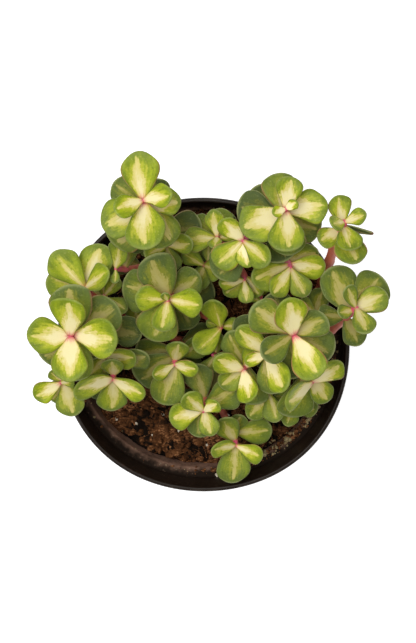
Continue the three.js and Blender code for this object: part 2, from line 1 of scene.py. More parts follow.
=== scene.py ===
# A potted rainbow bush: rooted cuttings of cream and green dwarf jade in a black nursery pot, seen from
# above. Sizes are in millimetres until each piece is finished, which turns them into metres.

import math
import random

import bmesh
import bpy
import numpy as np
from mathutils import Matrix, Vector, noise


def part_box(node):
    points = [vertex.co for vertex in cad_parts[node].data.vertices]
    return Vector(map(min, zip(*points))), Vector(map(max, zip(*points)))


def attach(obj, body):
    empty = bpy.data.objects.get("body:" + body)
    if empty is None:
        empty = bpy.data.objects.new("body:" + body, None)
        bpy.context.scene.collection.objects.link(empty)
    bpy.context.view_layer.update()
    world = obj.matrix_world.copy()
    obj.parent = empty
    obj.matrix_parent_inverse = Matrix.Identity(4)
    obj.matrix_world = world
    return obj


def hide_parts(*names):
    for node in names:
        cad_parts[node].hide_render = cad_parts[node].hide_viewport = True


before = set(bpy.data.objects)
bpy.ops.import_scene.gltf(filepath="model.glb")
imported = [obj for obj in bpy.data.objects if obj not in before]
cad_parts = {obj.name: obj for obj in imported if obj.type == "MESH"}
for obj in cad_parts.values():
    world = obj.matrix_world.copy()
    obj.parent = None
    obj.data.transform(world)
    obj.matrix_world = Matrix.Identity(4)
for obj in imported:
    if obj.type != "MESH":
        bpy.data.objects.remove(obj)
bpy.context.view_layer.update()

# Camera. The photograph looks down on the plant from about 70 cm above the rim, from a little behind
# the middle, so that the back of the pot is seen from outside and the front from inside.
MM = 0.001
PHOTO_SIZE = (416, 643)
FOCAL_PIXELS = 1952
SENSOR_MM = 36
CAMERA_DISTANCE = 689
CAMERA_TILT = math.radians(7.42)
FRAMING_RIGHT = 1.6
FRAMING_UP = 8.75
RIGHT = Vector((1, 0, 0))

pot_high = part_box("pot")[1] / MM
rim_centre = Vector((0, 0, pot_high.z))
backwards = Vector((0, math.sin(CAMERA_TILT), math.cos(CAMERA_TILT)))
upwards = Vector((0, math.cos(CAMERA_TILT), -math.sin(CAMERA_TILT)))
eye = rim_centre + FRAMING_RIGHT * RIGHT + FRAMING_UP * upwards + CAMERA_DISTANCE * backwards
camera_data = bpy.data.cameras.new("camera")
camera_data.sensor_width = SENSOR_MM
camera_data.lens = SENSOR_MM * FOCAL_PIXELS / max(PHOTO_SIZE)
camera = bpy.data.objects.new("camera", camera_data)
camera.location = eye * MM
camera.rotation_euler = (-CAMERA_TILT, 0, 0)
bpy.context.scene.collection.objects.link(camera)
bpy.context.scene.camera = camera

# Pot. One thin moulded shell of black plastic: a tall rim band with a rolled lip, a ledge where the band
# steps in, a tapered wall and a flat floor with drain holes. It is turned from one profile, a little out
# of round as soft pots are, and the inside and the ledge hold a film of dried soil.
BAND_HEIGHT = 15
BAND_FOOT_RADIUS = 51.3
SHOULDER_RADIUS = 48.3
LEDGE_DROP = 2.5
BASE_RADIUS = 37.5
BASE_CORNER = 1.5
WALL = 1.2
LIP_WALL = 1.6
LIP_HEIGHT = 2
POT_FLOOR = 2
POT_STEPS = 160
CORNER_ROUNDING = 0.45
CORNER_SEGMENTS = 3
LONG_EDGE = 6
LONG_EDGE_CUTS = 6
SAME_PLACE = 0.001
DRAIN_HOLES = 6
DRAIN_RADIUS = 4
DRAIN_CIRCLE = 27
DRAIN_SIDES = 40
OUT_OF_ROUND = 0.45
LONG_AXIS = math.radians(-77)
CORNERS = 4
CORNER_PUSH = 0.42
CORNER_TURN = math.radians(-43)
RIM_SOFTNESS = 4
LEDGE_FILM = 1.1
FILM_LOST_OUTWARDS = 0.75
FILM_LOST_UPWARDS = 0.12
WALL_FILM = 0.26
DUSTY_SIDE_FILM = 0.22
DUSTY_SIDE = math.radians(-130)
OUTER_FILM = 0.1
SPLASHED_FILM = 0.4
SPLASH_HEIGHT = 14
INNER_SIDE = 0.7
# The pale band on the lip, set by the next two numbers and coloured below, is partly scuffing and partly a
# painted highlight.
LIP_SCUFF_AND_HIGHLIGHT = 1.5
SCUFF_AND_HIGHLIGHT_DEPTH = 0.9
POT_BLACK = (36, 28, 22)
POT_SCUFF_AND_HIGHLIGHT = (90, 82, 72)
DRIED_SOIL = (136, 104, 86)
PALE_SPECK = (140, 120, 100)

rim_radius = pot_high.x
pot_height = pot_high.z
ledge_z = pot_height - BAND_HEIGHT
inner_base_radius = BASE_RADIUS - WALL
inner_shoulder_radius = SHOULDER_RADIUS - WALL


def linear(colour):
    """A screen colour from 0 to 255 as the light it stands for, with full alpha."""
    shares = [c / 255 for c in colour]
    light = [s / 12.92 if s <= 0.04045 else ((s + 0.055) / 1.055) ** 2.4 for s in shares]
    return (*light, 1.0)


class Layer:
    """A number, colour or place that one node of a finish gives all over a piece. Layers add, take away and
    multiply like numbers, and each such step is a node of its own."""

    def __init__(self, finish, socket):
        self.finish = finish
        self.socket = socket

    def step(self, operation, *others):
        inputs = dict(enumerate((self, *others)))
        return self.finish.node("ShaderNodeMath", 0, inputs, operation=operation)

    def __add__(self, other):
        return self.step("ADD", other)

    def __sub__(self, other):
        return self.step("SUBTRACT", other)

    def __mul__(self, other):
        return self.step("MULTIPLY", other)

    def __abs__(self):
        return self.step("ABSOLUTE")

    def or_more(self, other):
        """The larger of the two layers."""
        return self.step("MAXIMUM", other)

    def fade(self, start, end):
        """From 0 where the layer is at start to 1 where it is at end, smoothly."""
        inputs = {"Value": self, "From Min": start, "From Max": end}
        return self.finish.node("ShaderNodeMapRange", 0, inputs, interpolation_type="SMOOTHSTEP")

    def curve(self, stops):
        """The layer looked up in a row of (place, height) stops."""
        looked_up = self.finish.node("ShaderNodeValToRGB", 0, {"Fac": self})
        elements = looked_up.socket.node.color_ramp.elements
        while len(elements) < len(stops):
            elements.new(0.5)
        for element, (place, height) in zip(elements, stops):
            element.position = place
            element.color = (height, height, height, 1)
        return looked_up

    def under(self, share, colour):
        """This colour, covered with another one as far as the share says."""
        return self.finish.mix(share, self, colour)

    def scaled(self, scale):
        """A place stretched by a number along each axis, to draw marks out along one of them."""
        return self.finish.node("ShaderNodeMapping", 0, {"Vector": self, "Scale": scale})

    def moved(self, distance):
        """A place moved by the same distance along each axis, to another part of a pattern."""
        return self.finish.node("ShaderNodeVectorMath", 0, {0: self, 1: distance}, operation="ADD")

    def x_and_y(self):
        """The first two numbers of a place, as layers of their own."""
        split = self.finish.node("ShaderNodeSeparateXYZ", 0, {0: self}).socket.node
        return [Layer(self.finish, socket) for socket in split.outputs[:2]]

    def grain(self, scale, detail=3.0, roughness=0.5):
        """Cloudy noise at this place, with the scale in clouds to the metre."""
        inputs = {"Vector": self, "Scale": scale, "Detail": detail, "Roughness": roughness}
        return self.finish.node("ShaderNodeTexNoise", 0, inputs)

    def cells(self, scale):
        """The distance to the nearest of many scattered points, with the scale in points to the metre."""
        return self.finish.node("ShaderNodeTexVoronoi", "Distance", {"Vector": self, "Scale": scale})


class Finish:
    """One material, whose colour, roughness and relief are painted with layers."""

    def __init__(self, name, settings):
        self.material = bpy.data.materials.new(name)
        self.material.use_nodes = True
        self.tree = self.material.node_tree
        self.surface = self.tree.nodes["Principled BSDF"]
        for socket, value in settings.items():
            self.surface.inputs[socket].default_value = value

    def node(self, kind, output, inputs, **settings):
        """Adds a node and gives one of its outputs as a layer."""
        node = self.tree.nodes.new(kind)
        for setting, value in settings.items():
            setattr(node, setting, value)
        for socket, value in inputs.items():
            self.feed(node.inputs[socket], value)
        return Layer(self, node.outputs[output])

    def feed(self, socket, value):
        """Links a layer to a socket, or sets a plain value on it."""
        if isinstance(value, Layer):
            self.tree.links.new(value.socket, socket)
        else:
            socket.default_value = value

    def place(self):
        """The place on the piece, in metres."""
        return self.node("ShaderNodeTexCoord", "Object", {})

    def number(self, attribute):
        """A number that the mesh carries under this name."""
        return self.node("ShaderNodeAttribute", "Fac", {}, attribute_name=attribute)

    def mix(self, share, a, b):
        """Colour a, covered with colour b as far as the share says."""
        a, b = (colour if isinstance(colour, Layer) else linear(colour) for colour in (a, b))
        return self.node("ShaderNodeMix", 2, {0: share, 6: a, 7: b}, data_type="RGBA")

    def paint(self, socket, value):
        """Gives the surface itself its colour, its roughness or another of its values."""
        self.feed(self.surface.inputs[socket], value)

    def relief(self, height, strength, depth_mm):
        """Shades the surface as if the layer stood out of it."""
        inputs = {"Height": height, "Strength": strength, "Distance": depth_mm * MM}
        self.paint("Normal", self.node("ShaderNodeBump", 0, inputs))


def finish_piece(name, shape, finish, stands_for=(), rounds=0):
    """Makes a bmesh in millimetres into a smooth piece in metres that rides on the pot."""
    bmesh.ops.scale(shape, vec=(MM, MM, MM), verts=shape.verts)
    mesh = bpy.data.meshes.new(name)
    shape.to_mesh(mesh)
    shape.free()
    mesh.shade_smooth()
    mesh.materials.append(finish.material)
    piece = bpy.data.objects.new(name, mesh)
    bpy.context.scene.collection.objects.link(piece)
    if rounds:
        smoothing = piece.modifiers.new("rounding", "SUBSURF")
        smoothing.levels = smoothing.render_levels = rounds
    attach(piece, "root")
    for node in stands_for:
        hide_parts(node)
    return piece


def black_plastic():
    """Satin black plastic, pale on the lip, partly scuffed and partly painted with a highlight, and filmed
    with dried soil where the dust layer is strong.
    """
    finish = Finish("black_plastic", {"Specular IOR Level": 0.17})
    place = finish.place()
    film = finish.number("dust")
    cloud = place.grain(85, 6, 0.68)
    fine = place.grain(420, 4, 0.6)
    streaks = place.scaled((260, 260, 30)).grain(1)
    dust = (cloud * 0.75 + fine * 0.5 + film * 0.5).fade(0.92, 1.3) * film
    # The pale lip is partly scuffing and partly a painted highlight.
    scuffed_and_lit = finish.number("scuff_and_highlight") * streaks.fade(0.35, 0.8)
    specks = place.cells(780).fade(0.3, 0.12) * cloud.fade(0.44, 0.6)
    specks = specks * fine.fade(0.42, 0.58) * film.fade(0.05, 0.9)
    colour = finish.mix(scuffed_and_lit, POT_BLACK, POT_SCUFF_AND_HIGHLIGHT).under(dust, DRIED_SOIL).under(specks, PALE_SPECK)
    finish.paint("Base Color", colour)
    finish.paint("Roughness", (fine * 0.4 + dust).curve([(0.1, 0.36), (0.9, 0.85)]))
    finish.relief(fine + streaks * 0.3, strength=0.25, depth_mm=0.12)
    return finish


def turned_pot():
    """The pot's profile, up the outside and down the inside, with rounded corners, spun round the axis."""
    outside = [
        (0, 0),
        (BASE_RADIUS - BASE_CORNER, 0),
        (BASE_RADIUS, BASE_CORNER),
        (SHOULDER_RADIUS, ledge_z - LEDGE_DROP),
        (BAND_FOOT_RADIUS, ledge_z),
        (rim_radius, pot_height - LIP_WALL / 3),
        (rim_radius - LIP_WALL / 3, pot_height),
    ]
    inside = [
        (rim_radius - LIP_WALL, pot_height),
        (rim_radius - LIP_WALL, pot_height - LIP_HEIGHT),
        (BAND_FOOT_RADIUS - WALL, ledge_z + WALL / 2),
        (inner_shoulder_radius, ledge_z + WALL / 2 - LEDGE_DROP),
        (inner_base_radius, POT_FLOOR),
        (0, POT_FLOOR),
    ]
    shape = bmesh.new()
    corners = [shape.verts.new((r, 0, z)) for r, z in outside + inside]
    for a, b in zip(corners, corners[1:]):
        shape.edges.new((a, b))
    bmesh.ops.bevel(
        shape, geom=corners[1:-1], offset=CORNER_ROUNDING, segments=CORNER_SEGMENTS, profile=0.5,
        affect="VERTICES", material=-1,
    )
    rising = [e for e in shape.edges if e.verts[0].co.z != e.verts[1].co.z]
    long_edges = [e for e in rising if e.calc_length() > LONG_EDGE]
    bmesh.ops.subdivide_edges(shape, edges=long_edges, cuts=LONG_EDGE_CUTS)
    bmesh.ops.spin(
        shape, geom=shape.verts[:] + shape.edges[:], cent=(0, 0, 0), axis=(0, 0, 1), dvec=(0, 0, 0),
        angle=math.tau, steps=POT_STEPS, use_merge=True,
    )
    bmesh.ops.remove_doubles(shape, verts=shape.verts, dist=SAME_PLACE)
    bmesh.ops.recalc_face_normals(shape, faces=shape.faces)
    return shape


def drill(piece):
    """Cuts the drain holes through the floor of the pot."""
    drills = bmesh.new()
    for hole in range(DRAIN_HOLES):
        turn = hole / DRAIN_HOLES * math.tau
        place = Vector((DRAIN_CIRCLE * math.cos(turn), DRAIN_CIRCLE * math.sin(turn), POT_FLOOR / 2))
        bmesh.ops.create_cone(
            drills, cap_ends=True, segments=DRAIN_SIDES, radius1=DRAIN_RADIUS, radius2=DRAIN_RADIUS,
            depth=POT_FLOOR * 3, matrix=Matrix.Translation(place),
        )
    bmesh.ops.scale(drills, vec=(MM, MM, MM), verts=drills.verts)
    mesh = bpy.data.meshes.new("drills")
    drills.to_mesh(mesh)
    drills.free()
    cutter = bpy.data.objects.new("drills", mesh)
    bpy.context.scene.collection.objects.link(cutter)
    cut = piece.modifiers.new("drain holes", "BOOLEAN")
    cut.operation = "DIFFERENCE"
    cut.object = cutter
    cut.solver = "EXACT"
    with bpy.context.temp_override(object=piece, active_object=piece):
        bpy.ops.object.modifier_apply(modifier=cut.name)
    bpy.data.objects.remove(cutter)


def weather(mesh):
    """Presses the pot a little out of round and lays down how dusty each place is, and how pale the lip is,
    partly as scuffing and partly as a painted highlight.
    """
    dust = mesh.attributes.new("dust", "FLOAT", "POINT")
    scuff_and_highlight = mesh.attributes.new("scuff_and_highlight", "FLOAT", "POINT")
    for i, vertex in enumerate(mesh.vertices):
        x, y, z = vertex.co / MM
        radius = math.hypot(x, y)
        turn = math.atan2(y, x)
        outside = np.interp(
            z, (BASE_CORNER, ledge_z - LEDGE_DROP, ledge_z, pot_height),
            (BASE_RADIUS, SHOULDER_RADIUS, BAND_FOOT_RADIUS, rim_radius),
        )
        inside = radius < outside - WALL * INNER_SIDE and z > POT_FLOOR / 2
        over_ledge = (radius - inner_shoulder_radius) / (BAND_FOOT_RADIUS - WALL - inner_shoulder_radius)
        lost = FILM_LOST_OUTWARDS * max(0, over_ledge) + FILM_LOST_UPWARDS * max(0, z - ledge_z)
        on_wall = WALL_FILM + DUSTY_SIDE_FILM * math.cos(turn - DUSTY_SIDE)
        splashed = OUTER_FILM + SPLASHED_FILM * max(0, 1 - z / SPLASH_HEIGHT)
        dust.data[i].value = max(on_wall, LEDGE_FILM - lost) if inside else splashed
        # The outer top of the lip is painted pale, partly as scuffing and partly as a highlight.
        outer_lip = max(0, 1 - (rim_radius - radius) / LIP_WALL * LIP_SCUFF_AND_HIGHLIGHT)
        scuff_and_highlight.data[i].value = outer_lip * max(0, 1 - (pot_height - z) / SCUFF_AND_HIGHLIGHT_DEPTH)
        if radius > 1:
            push = OUT_OF_ROUND * math.cos(2 * (turn - LONG_AXIS))
            push += CORNER_PUSH * math.cos(CORNERS * (turn - CORNER_TURN))
            press = push * (z / pot_height) ** RIM_SOFTNESS / radius
            vertex.co.x *= 1 + press
            vertex.co.y *= 1 + press


pot = finish_piece("nursery_pot", turned_pot(), black_plastic(), ["pot"])
drill(pot)
weather(pot.data)

# Soil. Brown coir and peat potting mix, filled to just under the ledge and crumbled on top. It is one
# mass here, with a rough surface that follows the mound of the model, and it fills the pot to its floor.
CLEARANCE = 0.3
SOIL_LEVEL = 70
SOIL_MOUND = 2.2
SOIL_LUMP = 0.9
LONG_WAVES = (0.31, 0.27)
LONG_WAVE_START = 1.3
SHORT_WAVES = (0.55, 0.47)
SHORT_WAVE_SHARE = 0.6
SOIL_CELLS = 210
CLOD_SIZE = 8
CLOD_HEIGHT = 2.5
CLOD_ROUGHNESS = (0.8, 2.2, 4)
CRUMB_SIZE = 2.8
CRUMB_HEIGHT = 1.5
CRUMBS_OFF_CLODS = 0.6
CRUMB_BEND_SIZE = 3
CRUMB_BEND_SHIFT = Vector((7, 7, 7))
GRIT_HEIGHT = 0.55
GRIT_ROUGHNESS = (0.7, 2.0, 2)
RELIEF_SLICE = 3.0
EDGE_GAP = 5.5
GAP_START = 0.91
GAP_WIDTH = 0.09
GAP_EVERYWHERE = 0.15
GAP_ON_SIDE = 0.7
GAP_SIDE = math.radians(-118)
GAP_CHANCE = 1.2
GAP_CHANCE_SIZE = 11
GAP_SLICE = 40
GRAIN_PROUD = 0.25
GRAIN_REACH = 1.4
# How the soil mass is painted with shade: its middle value, how much darker per millimetre lower, and its
# sides along the wall.
SHADE_MIDDLE = 0.5
SHADE_PER_MM = 0.3
WALL_SHADE = 0.4
SOIL_EDGE_DEPTH = 3
SOIL_DARK = (22, 12, 4)
SOIL_BROWN = (90, 54, 27)
SOIL_TAN = (172, 118, 76)
DRY_CRUMB = (176, 158, 116)

soil_radius = inner_shoulder_radius - CLEARANCE


def soil_relief(x, y):
    """How far clods and crumbs stand out of the soil, above or below the mound."""
    place = Vector((x, y, RELIEF_SLICE))
    bend_place = place / CRUMB_BEND_SIZE
    bend = Vector((noise.noise(bend_place), noise.noise(bend_place + CRUMB_BEND_SHIFT), 0))
    clods = noise.fractal(place / CLOD_SIZE, *CLOD_ROUGHNESS)
    crumbs = 0.5 - noise.voronoi((place + bend) / CRUMB_SIZE)[0][0]
    grit = noise.fractal(place, *GRIT_ROUGHNESS)
    return CLOD_HEIGHT * clods + CRUMB_HEIGHT * crumbs * (CRUMBS_OFF_CLODS + clods) + GRIT_HEIGHT * grit


def soil_height(x, y):
    """How high the soil stands: a low mound with waves and clods on it, and gaps along the pot."""
    share = min(1, math.hypot(x, y) / soil_radius)
    lumps = math.sin(LONG_WAVES[0] * x + LONG_WAVE_START) * math.cos(LONG_WAVES[1] * y)
    lumps += SHORT_WAVE_SHARE * math.sin(SHORT_WAVES[0] * x - SHORT_WAVES[1] * y)
    mound = (1 - share**2) * (SOIL_MOUND + SOIL_LUMP * lumps)
    facing = math.cos(math.atan2(y, x) - GAP_SIDE)
    chance = noise.noise(Vector((x, y, GAP_SLICE)) / GAP_CHANCE_SIZE)
    opening = min(1, max(0, GAP_EVERYWHERE + GAP_ON_SIDE * facing + GAP_CHANCE * chance))
    gap = max(0, share - GAP_START) / GAP_WIDTH * opening
    return SOIL_LEVEL + mound + soil_relief(x, y) - EDGE_GAP * gap


def inside_wall(x, y, z, room=0.0):
    """A place, moved in towards the pot's axis where its tapered wall leaves no room."""
    share = (z - POT_FLOOR) / (ledge_z + WALL / 2 - LEDGE_DROP - POT_FLOOR)
    wall = inner_base_radius + (inner_shoulder_radius - inner_base_radius) * share
    inwards = min(1, (wall - CLEARANCE - room) / max(1, math.hypot(x, y)))
    return Vector((x * inwards, y * inwards, z))


def resting_place(x, y, size):
    """Where a loose grain lies: sunk a little in the soil, or past its edge on the pot's sloping ledge."""
    past_edge = math.hypot(x, y) - soil_radius
    if past_edge < 0:
        return inside_wall(x, y, soil_height(x, y) + size * GRAIN_PROUD, size * GRAIN_REACH)
    slope = past_edge / (BAND_FOOT_RADIUS - SHOULDER_RADIUS)
    return Vector((x, y, ledge_z + WALL / 2 - LEDGE_DROP * (1 - slope)))


def round_from_square(x, y):
    """Moves a point of a square from -1 to 1 to its place in a disc, row by row."""
    if x == 0 and y == 0:
        return 0.0, 0.0
    if abs(x) > abs(y):
        radius, turn = x, math.pi / 4 * y / x
    else:
        radius, turn = y, math.pi / 2 - math.pi / 4 * x / y
    return radius * math.cos(turn), radius * math.sin(turn)


def potting_mix():
    """Dark crumbly mix: near black in the gaps, brown on the crumbs, with tan coir fibres. On the soil mass
    the shade number is painted shade, darker in its low places; on loose crumbs and fibres it is their own
    tone.
    """
    finish = Finish("potting_mix", {"Specular IOR Level": 0.15})
    place = finish.place()
    clods = place.grain(170, 6, 0.7)
    crumbs = place.grain(700, 5, 0.75)
    threads = place.scaled((500, 2300, 900)).grain(1, 3, 0.6)
    shade = finish.number("shade")
    # On the soil mass this is painted shade, with low places darker and tops lighter.
    tone = clods * 0.45 + crumbs * 0.55 + (shade - SHADE_MIDDLE) * 0.62
    tan = tone.fade(0.5, 0.7) * threads.fade(0.46, 0.62)
    colour = finish.mix(tone.fade(0.38, 0.58), SOIL_DARK, SOIL_BROWN).under(tan, SOIL_TAN)
    finish.paint("Base Color", colour.under(shade.fade(1.2, 1.7), DRY_CRUMB))
    finish.paint("Roughness", crumbs.curve([(0.3, 0.75), (0.7, 1.0)]))
    finish.relief(crumbs + threads * 0.4, strength=0.9, depth_mm=0.9)
    return finish


def soil_mass():
    """A round sheet with the soil's relief, whose edge is drawn down along the wall and closed below."""
    shape = bmesh.new()
    shade = shape.verts.layers.float.new("shade")
    bmesh.ops.create_grid(shape, x_segments=SOIL_CELLS, y_segments=SOIL_CELLS, size=1)
    for vertex in shape.verts:
        x, y = round_from_square(vertex.co.x, vertex.co.y)
        x, y = x * soil_radius, y * soil_radius
        vertex.co = inside_wall(x, y, soil_height(x, y))
        # Painted shade: low places between clods are darker and their tops lighter.
        vertex[shade] = SHADE_MIDDLE + SHADE_PER_MM * soil_relief(x, y)
    rim = [e for e in shape.edges if e.is_boundary]
    foot_radius = inner_base_radius - CLEARANCE
    for radius, level in [(soil_radius, SOIL_LEVEL - SOIL_EDGE_DEPTH), (foot_radius, POT_FLOOR + CLEARANCE)]:
        made = bmesh.ops.extrude_edge_only(shape, edges=rim)["geom"]
        for vertex in (v for v in made if isinstance(v, bmesh.types.BMVert)):
            vertex.co = Vector((vertex.co.x, vertex.co.y, 0)).normalized() * radius
            vertex.co.z = level
            # The sides along the wall are painted darker, as shade.
            vertex[shade] = WALL_SHADE
        rim = [e for e in made if isinstance(e, bmesh.types.BMEdge) and e.is_boundary]
    bmesh.ops.holes_fill(shape, edges=rim, sides=0)
    bmesh.ops.recalc_face_normals(shape, faces=shape.faces)
    return shape


mix_finish = potting_mix()
finish_piece("potting_soil", soil_mass(), mix_finish, ["soil"])

# Loose crumbs and coir. Broken bits of the same mix and short brown fibres lie all over the soil. Dry ones
# have also been pushed up on the pot's ledge, most of them at the front. They only rest there.
CRUMB_SEED = 7
CRUMBS = 2000
CRUMB_SIZES = (0.35, 1.9)
CRUMB_RARITY = 2.6
LARGE_CRUMB = 0.9
CRUMB_SPREAD = 0.985
LEDGE_CRUMBS = 620
LEDGE_SIZES = (0.2, 1.0)
LEDGE_RARITY = 2.5
LEDGE_HEAP = (math.radians(-46), 0.36)
LEDGE_SPREAD = (-1.2, 3.3)
LEDGE_CROWDING = 0.6
LEDGE_REACH = 1.6
STREWN_ONE_IN = 4
PALE_ONE_IN = 3
SMALL_KINDS = dict(count=14, rounds=1, shades=(0.2, 0.9))
LARGE_KINDS = dict(count=10, rounds=2, shades=(0.3, 0.75))
DRY_KINDS = dict(count=8, rounds=1, shades=(0.55, 1.0))
PALE_KINDS = dict(count=4, rounds=1, shades=(1.3, 2.0))
BUMP_HEIGHT = 0.75
BUMPS_ACROSS = 1.1
BUMP_SHADE = 0.2
BUMP_SLICES = (0, 90)
CRUMB_BREADTHS = (0.7, 1.3)
CRUMB_FLATNESS = (0.5, 0.9)
FIBRE_SEED = 8
FIBRES = 320
FIBRE_LENGTHS = (3, 11)
FIBRE_RADIUS = 0.13
FIBRE_STOUTNESS = (0.6, 1.5)
FIBRE_SIDES = 5
FIBRE_STEPS = 6
FIBRE_BEND = 0.35
FIBRE_WANDER = 0.2
FIBRE_START = 0.3
FIBRE_LIFT = 0.25
FIBRE_SPRING = 0.5
FIBRE_EDGE = 0.4
FIBRE_SHADES = (0.5, 1.1)


def bare_spot(draw):
    """A place on the soil at random, evenly over the disc."""
    radius = soil_radius * CRUMB_SPREAD * math.sqrt(draw.random())
    turn = draw.uniform(0, math.tau)
    return radius * math.cos(turn), radius * math.sin(turn)


def random_size(draw, sizes, rarity):
    """A size at random, where large ones are rare."""
    return sizes[0] + (sizes[1] - sizes[0]) * draw.random() ** rarity


def crumb_kinds(draw, count, rounds, shades):
    """Angular crumbs of radius 1, each of its own form and shade, to be placed again and again."""
    kinds = []
    for kind in range(count):
        shape = bmesh.new()
        shade = shape.verts.layers.float.new("shade")
        bmesh.ops.create_icosphere(shape, subdivisions=rounds, radius=1)
        seed = Vector((draw.uniform(*BUMP_SLICES), draw.uniform(*BUMP_SLICES), 0))
        tone = draw.uniform(*shades)
        for vertex in shape.verts:
            bump = noise.noise(vertex.co * BUMPS_ACROSS + seed)
            vertex.co *= 1 + BUMP_HEIGHT * bump
            vertex[shade] = tone + BUMP_SHADE * bump
        mesh = bpy.data.meshes.new("crumb_kind")
        shape.to_mesh(mesh)
        shape.free()
        kinds.append(mesh)
    return kinds


def add_crumb(shape, draw, kind, place, size):
    """Puts one crumb down, turned and squashed in its own way."""
    length, breadth = draw.uniform(*CRUMB_BREADTHS), draw.uniform(*CRUMB_BREADTHS)
    squash = Matrix.Diagonal((length, breadth, draw.uniform(*CRUMB_FLATNESS), 1))
    turn = Matrix.Rotation(draw.uniform(0, math.tau), 4, Vector((draw.random(), draw.random(), 1)))
    crumb = kind.copy()
    crumb.transform(Matrix.Translation(place) @ turn @ squash @ Matrix.Scale(size, 4))
    shape.from_mesh(crumb)
    bpy.data.meshes.remove(crumb)


def loose_crumbs():
    """Crumbs all over the soil, then a heap of dry ones on the ledge with some strewn all round it."""
    draw = random.Random(CRUMB_SEED)
    shape = bmesh.new()
    small, large, dry, pale = (
        crumb_kinds(draw, **kinds) for kinds in (SMALL_KINDS, LARGE_KINDS, DRY_KINDS, PALE_KINDS)
    )
    for i in range(CRUMBS):
        x, y = bare_spot(draw)
        size = random_size(draw, CRUMB_SIZES, CRUMB_RARITY)
        kind = draw.choice(large if size > LARGE_CRUMB else small)
        add_crumb(shape, draw, kind, resting_place(x, y, size), size)
    for i in range(LEDGE_CRUMBS):
        turn = draw.gauss(*LEDGE_HEAP) if i % STREWN_ONE_IN else draw.uniform(-math.pi, math.pi)
        radius = soil_radius + draw.uniform(*LEDGE_SPREAD) * draw.random() ** LEDGE_CROWDING
        size = random_size(draw, LEDGE_SIZES, LEDGE_RARITY)
        radius = min(radius, BAND_FOOT_RADIUS - WALL - OUT_OF_ROUND - size * LEDGE_REACH)
        x, y = radius * math.cos(turn), radius * math.sin(turn)
        kind = draw.choice(dry if i % PALE_ONE_IN else pale)
        add_crumb(shape, draw, kind, resting_place(x, y, size), size)
    for kind in small + large + dry + pale:
        bpy.data.meshes.remove(kind)
    return shape


def coir_fibre(draw, x, y):
    """A thin thread with few sides, drawn along a bent line just over the soil."""
    fibre = bmesh.new()
    shade = fibre.verts.layers.float.new("shade")
    turn = draw.uniform(0, math.tau)
    bend = draw.uniform(-FIBRE_BEND, FIBRE_BEND)
    step = draw.uniform(*FIBRE_LENGTHS) / FIBRE_STEPS
    upright = Matrix.Rotation(turn, 4, "Z") @ Matrix.Rotation(math.pi / 2, 4, "Y")
    start = Matrix.Translation((x, y, soil_height(x, y) + FIBRE_START)) @ upright
    radius = FIBRE_RADIUS * draw.uniform(*FIBRE_STOUTNESS)
    bmesh.ops.create_circle(fibre, cap_ends=True, segments=FIBRE_SIDES, radius=radius, matrix=start)
    edges = fibre.edges[:]
    for i in range(FIBRE_STEPS):
        turn += bend + draw.uniform(-FIBRE_WANDER, FIBRE_WANDER)
        x += step * math.cos(turn)
        y += step * math.sin(turn)
        if math.hypot(x, y) > soil_radius - FIBRE_EDGE:
            break
        made = bmesh.ops.extrude_edge_only(fibre, edges=edges)["geom"]
        verts = [v for v in made if isinstance(v, bmesh.types.BMVert)]
        old = sum((v.co for v in verts), Vector()) / len(verts)
        new = Vector((x, y, soil_height(x, y) + FIBRE_LIFT + draw.uniform(0, FIBRE_SPRING)))
        bmesh.ops.translate(fibre, vec=new - old, verts=verts)
        edges = [e for e in made if isinstance(e, bmesh.types.BMEdge) and e.is_boundary]
    bmesh.ops.edgeloop_fill(fibre, edges=edges)
    bmesh.ops.recalc_face_normals(fibre, faces=fibre.faces)
    tone = draw.uniform(*FIBRE_SHADES)
    for vertex in fibre.verts:
        vertex[shade] = tone
    return fibre


def coir_fibres():
    draw = random.Random(FIBRE_SEED)
    shape = bmesh.new()
    mesh = bpy.data.meshes.new("fibre")
    for i in range(FIBRES):
        fibre = coir_fibre(draw, *bare_spot(draw))
        fibre.to_mesh(mesh)
        fibre.free()
        shape.from_mesh(mesh)
    bpy.data.meshes.remove(mesh)
    return shape


finish_piece("soil_crumbs", loose_crumbs(), mix_finish)
finish_piece("coir_fibres", coir_fibres(), mix_finish)

# Perlite. A few white, popped grains of volcanic glass, mixed in the soil to keep it open. They lie a little
# sunk in its surface. Those that show in front are put where they lie there, and the rest fall anywhere.
PERLITE_SEED = 3
PERLITE_IN_VIEW = [
    (-24.4, -30.9), (-9, -33.6), (1.2, -38.6), (7.8, -48.7),
    (4.8, -49.4), (-31.5, -29), (-14.8, -27.4), (-18.5, -35),
]
PERLITE_STRAYS = 26
PERLITE_SIZES = (0.4, 0.9)
PERLITE_KINDS = dict(count=6, rounds=2, shades=(0.9, 1.0))
PERLITE_PROUD = 0.3
PERLITE_WHITE = (216, 204, 182)
PERLITE_STAIN = (160, 138, 106)


def perlite_finish():
    finish = Finish("popped_perlite", {"Specular IOR Level": 0.3})
    place = finish.place()
    stain = place.grain(900, 4, 0.6).fade(0.45, 0.75)
    finish.paint("Base Color", finish.mix(stain, PERLITE_WHITE, PERLITE_STAIN))
    finish.paint("Roughness", stain.curve([(0.0, 0.7), (1.0, 0.95)]))
    finish.relief(place.cells(2600), strength=0.6, depth_mm=0.25)
    return finish


def perlite_grains():
    draw = random.Random(PERLITE_SEED)
    shape = bmesh.new()
    kinds = crumb_kinds(draw, **PERLITE_KINDS)
    spots = PERLITE_IN_VIEW + [bare_spot(draw) for i in range(PERLITE_STRAYS)]
    for x, y in spots:
        size = draw.uniform(*PERLITE_SIZES)
        place = resting_place(x, y, size) + Vector((0, 0, size * PERLITE_PROUD))
        add_crumb(shape, draw, draw.choice(kinds), place, size)
    for kind in kinds:
        bpy.data.meshes.remove(kind)
    return shape


finish_piece("perlite_grains", perlite_grains(), perlite_finish())

# Cuttings. The plant is a bunch of thirteen rooted cuttings, and each is one leafy stem with side shoots.
# They rise out of the soil, lean outwards to the light, and bear their leaves in opposite pairs.

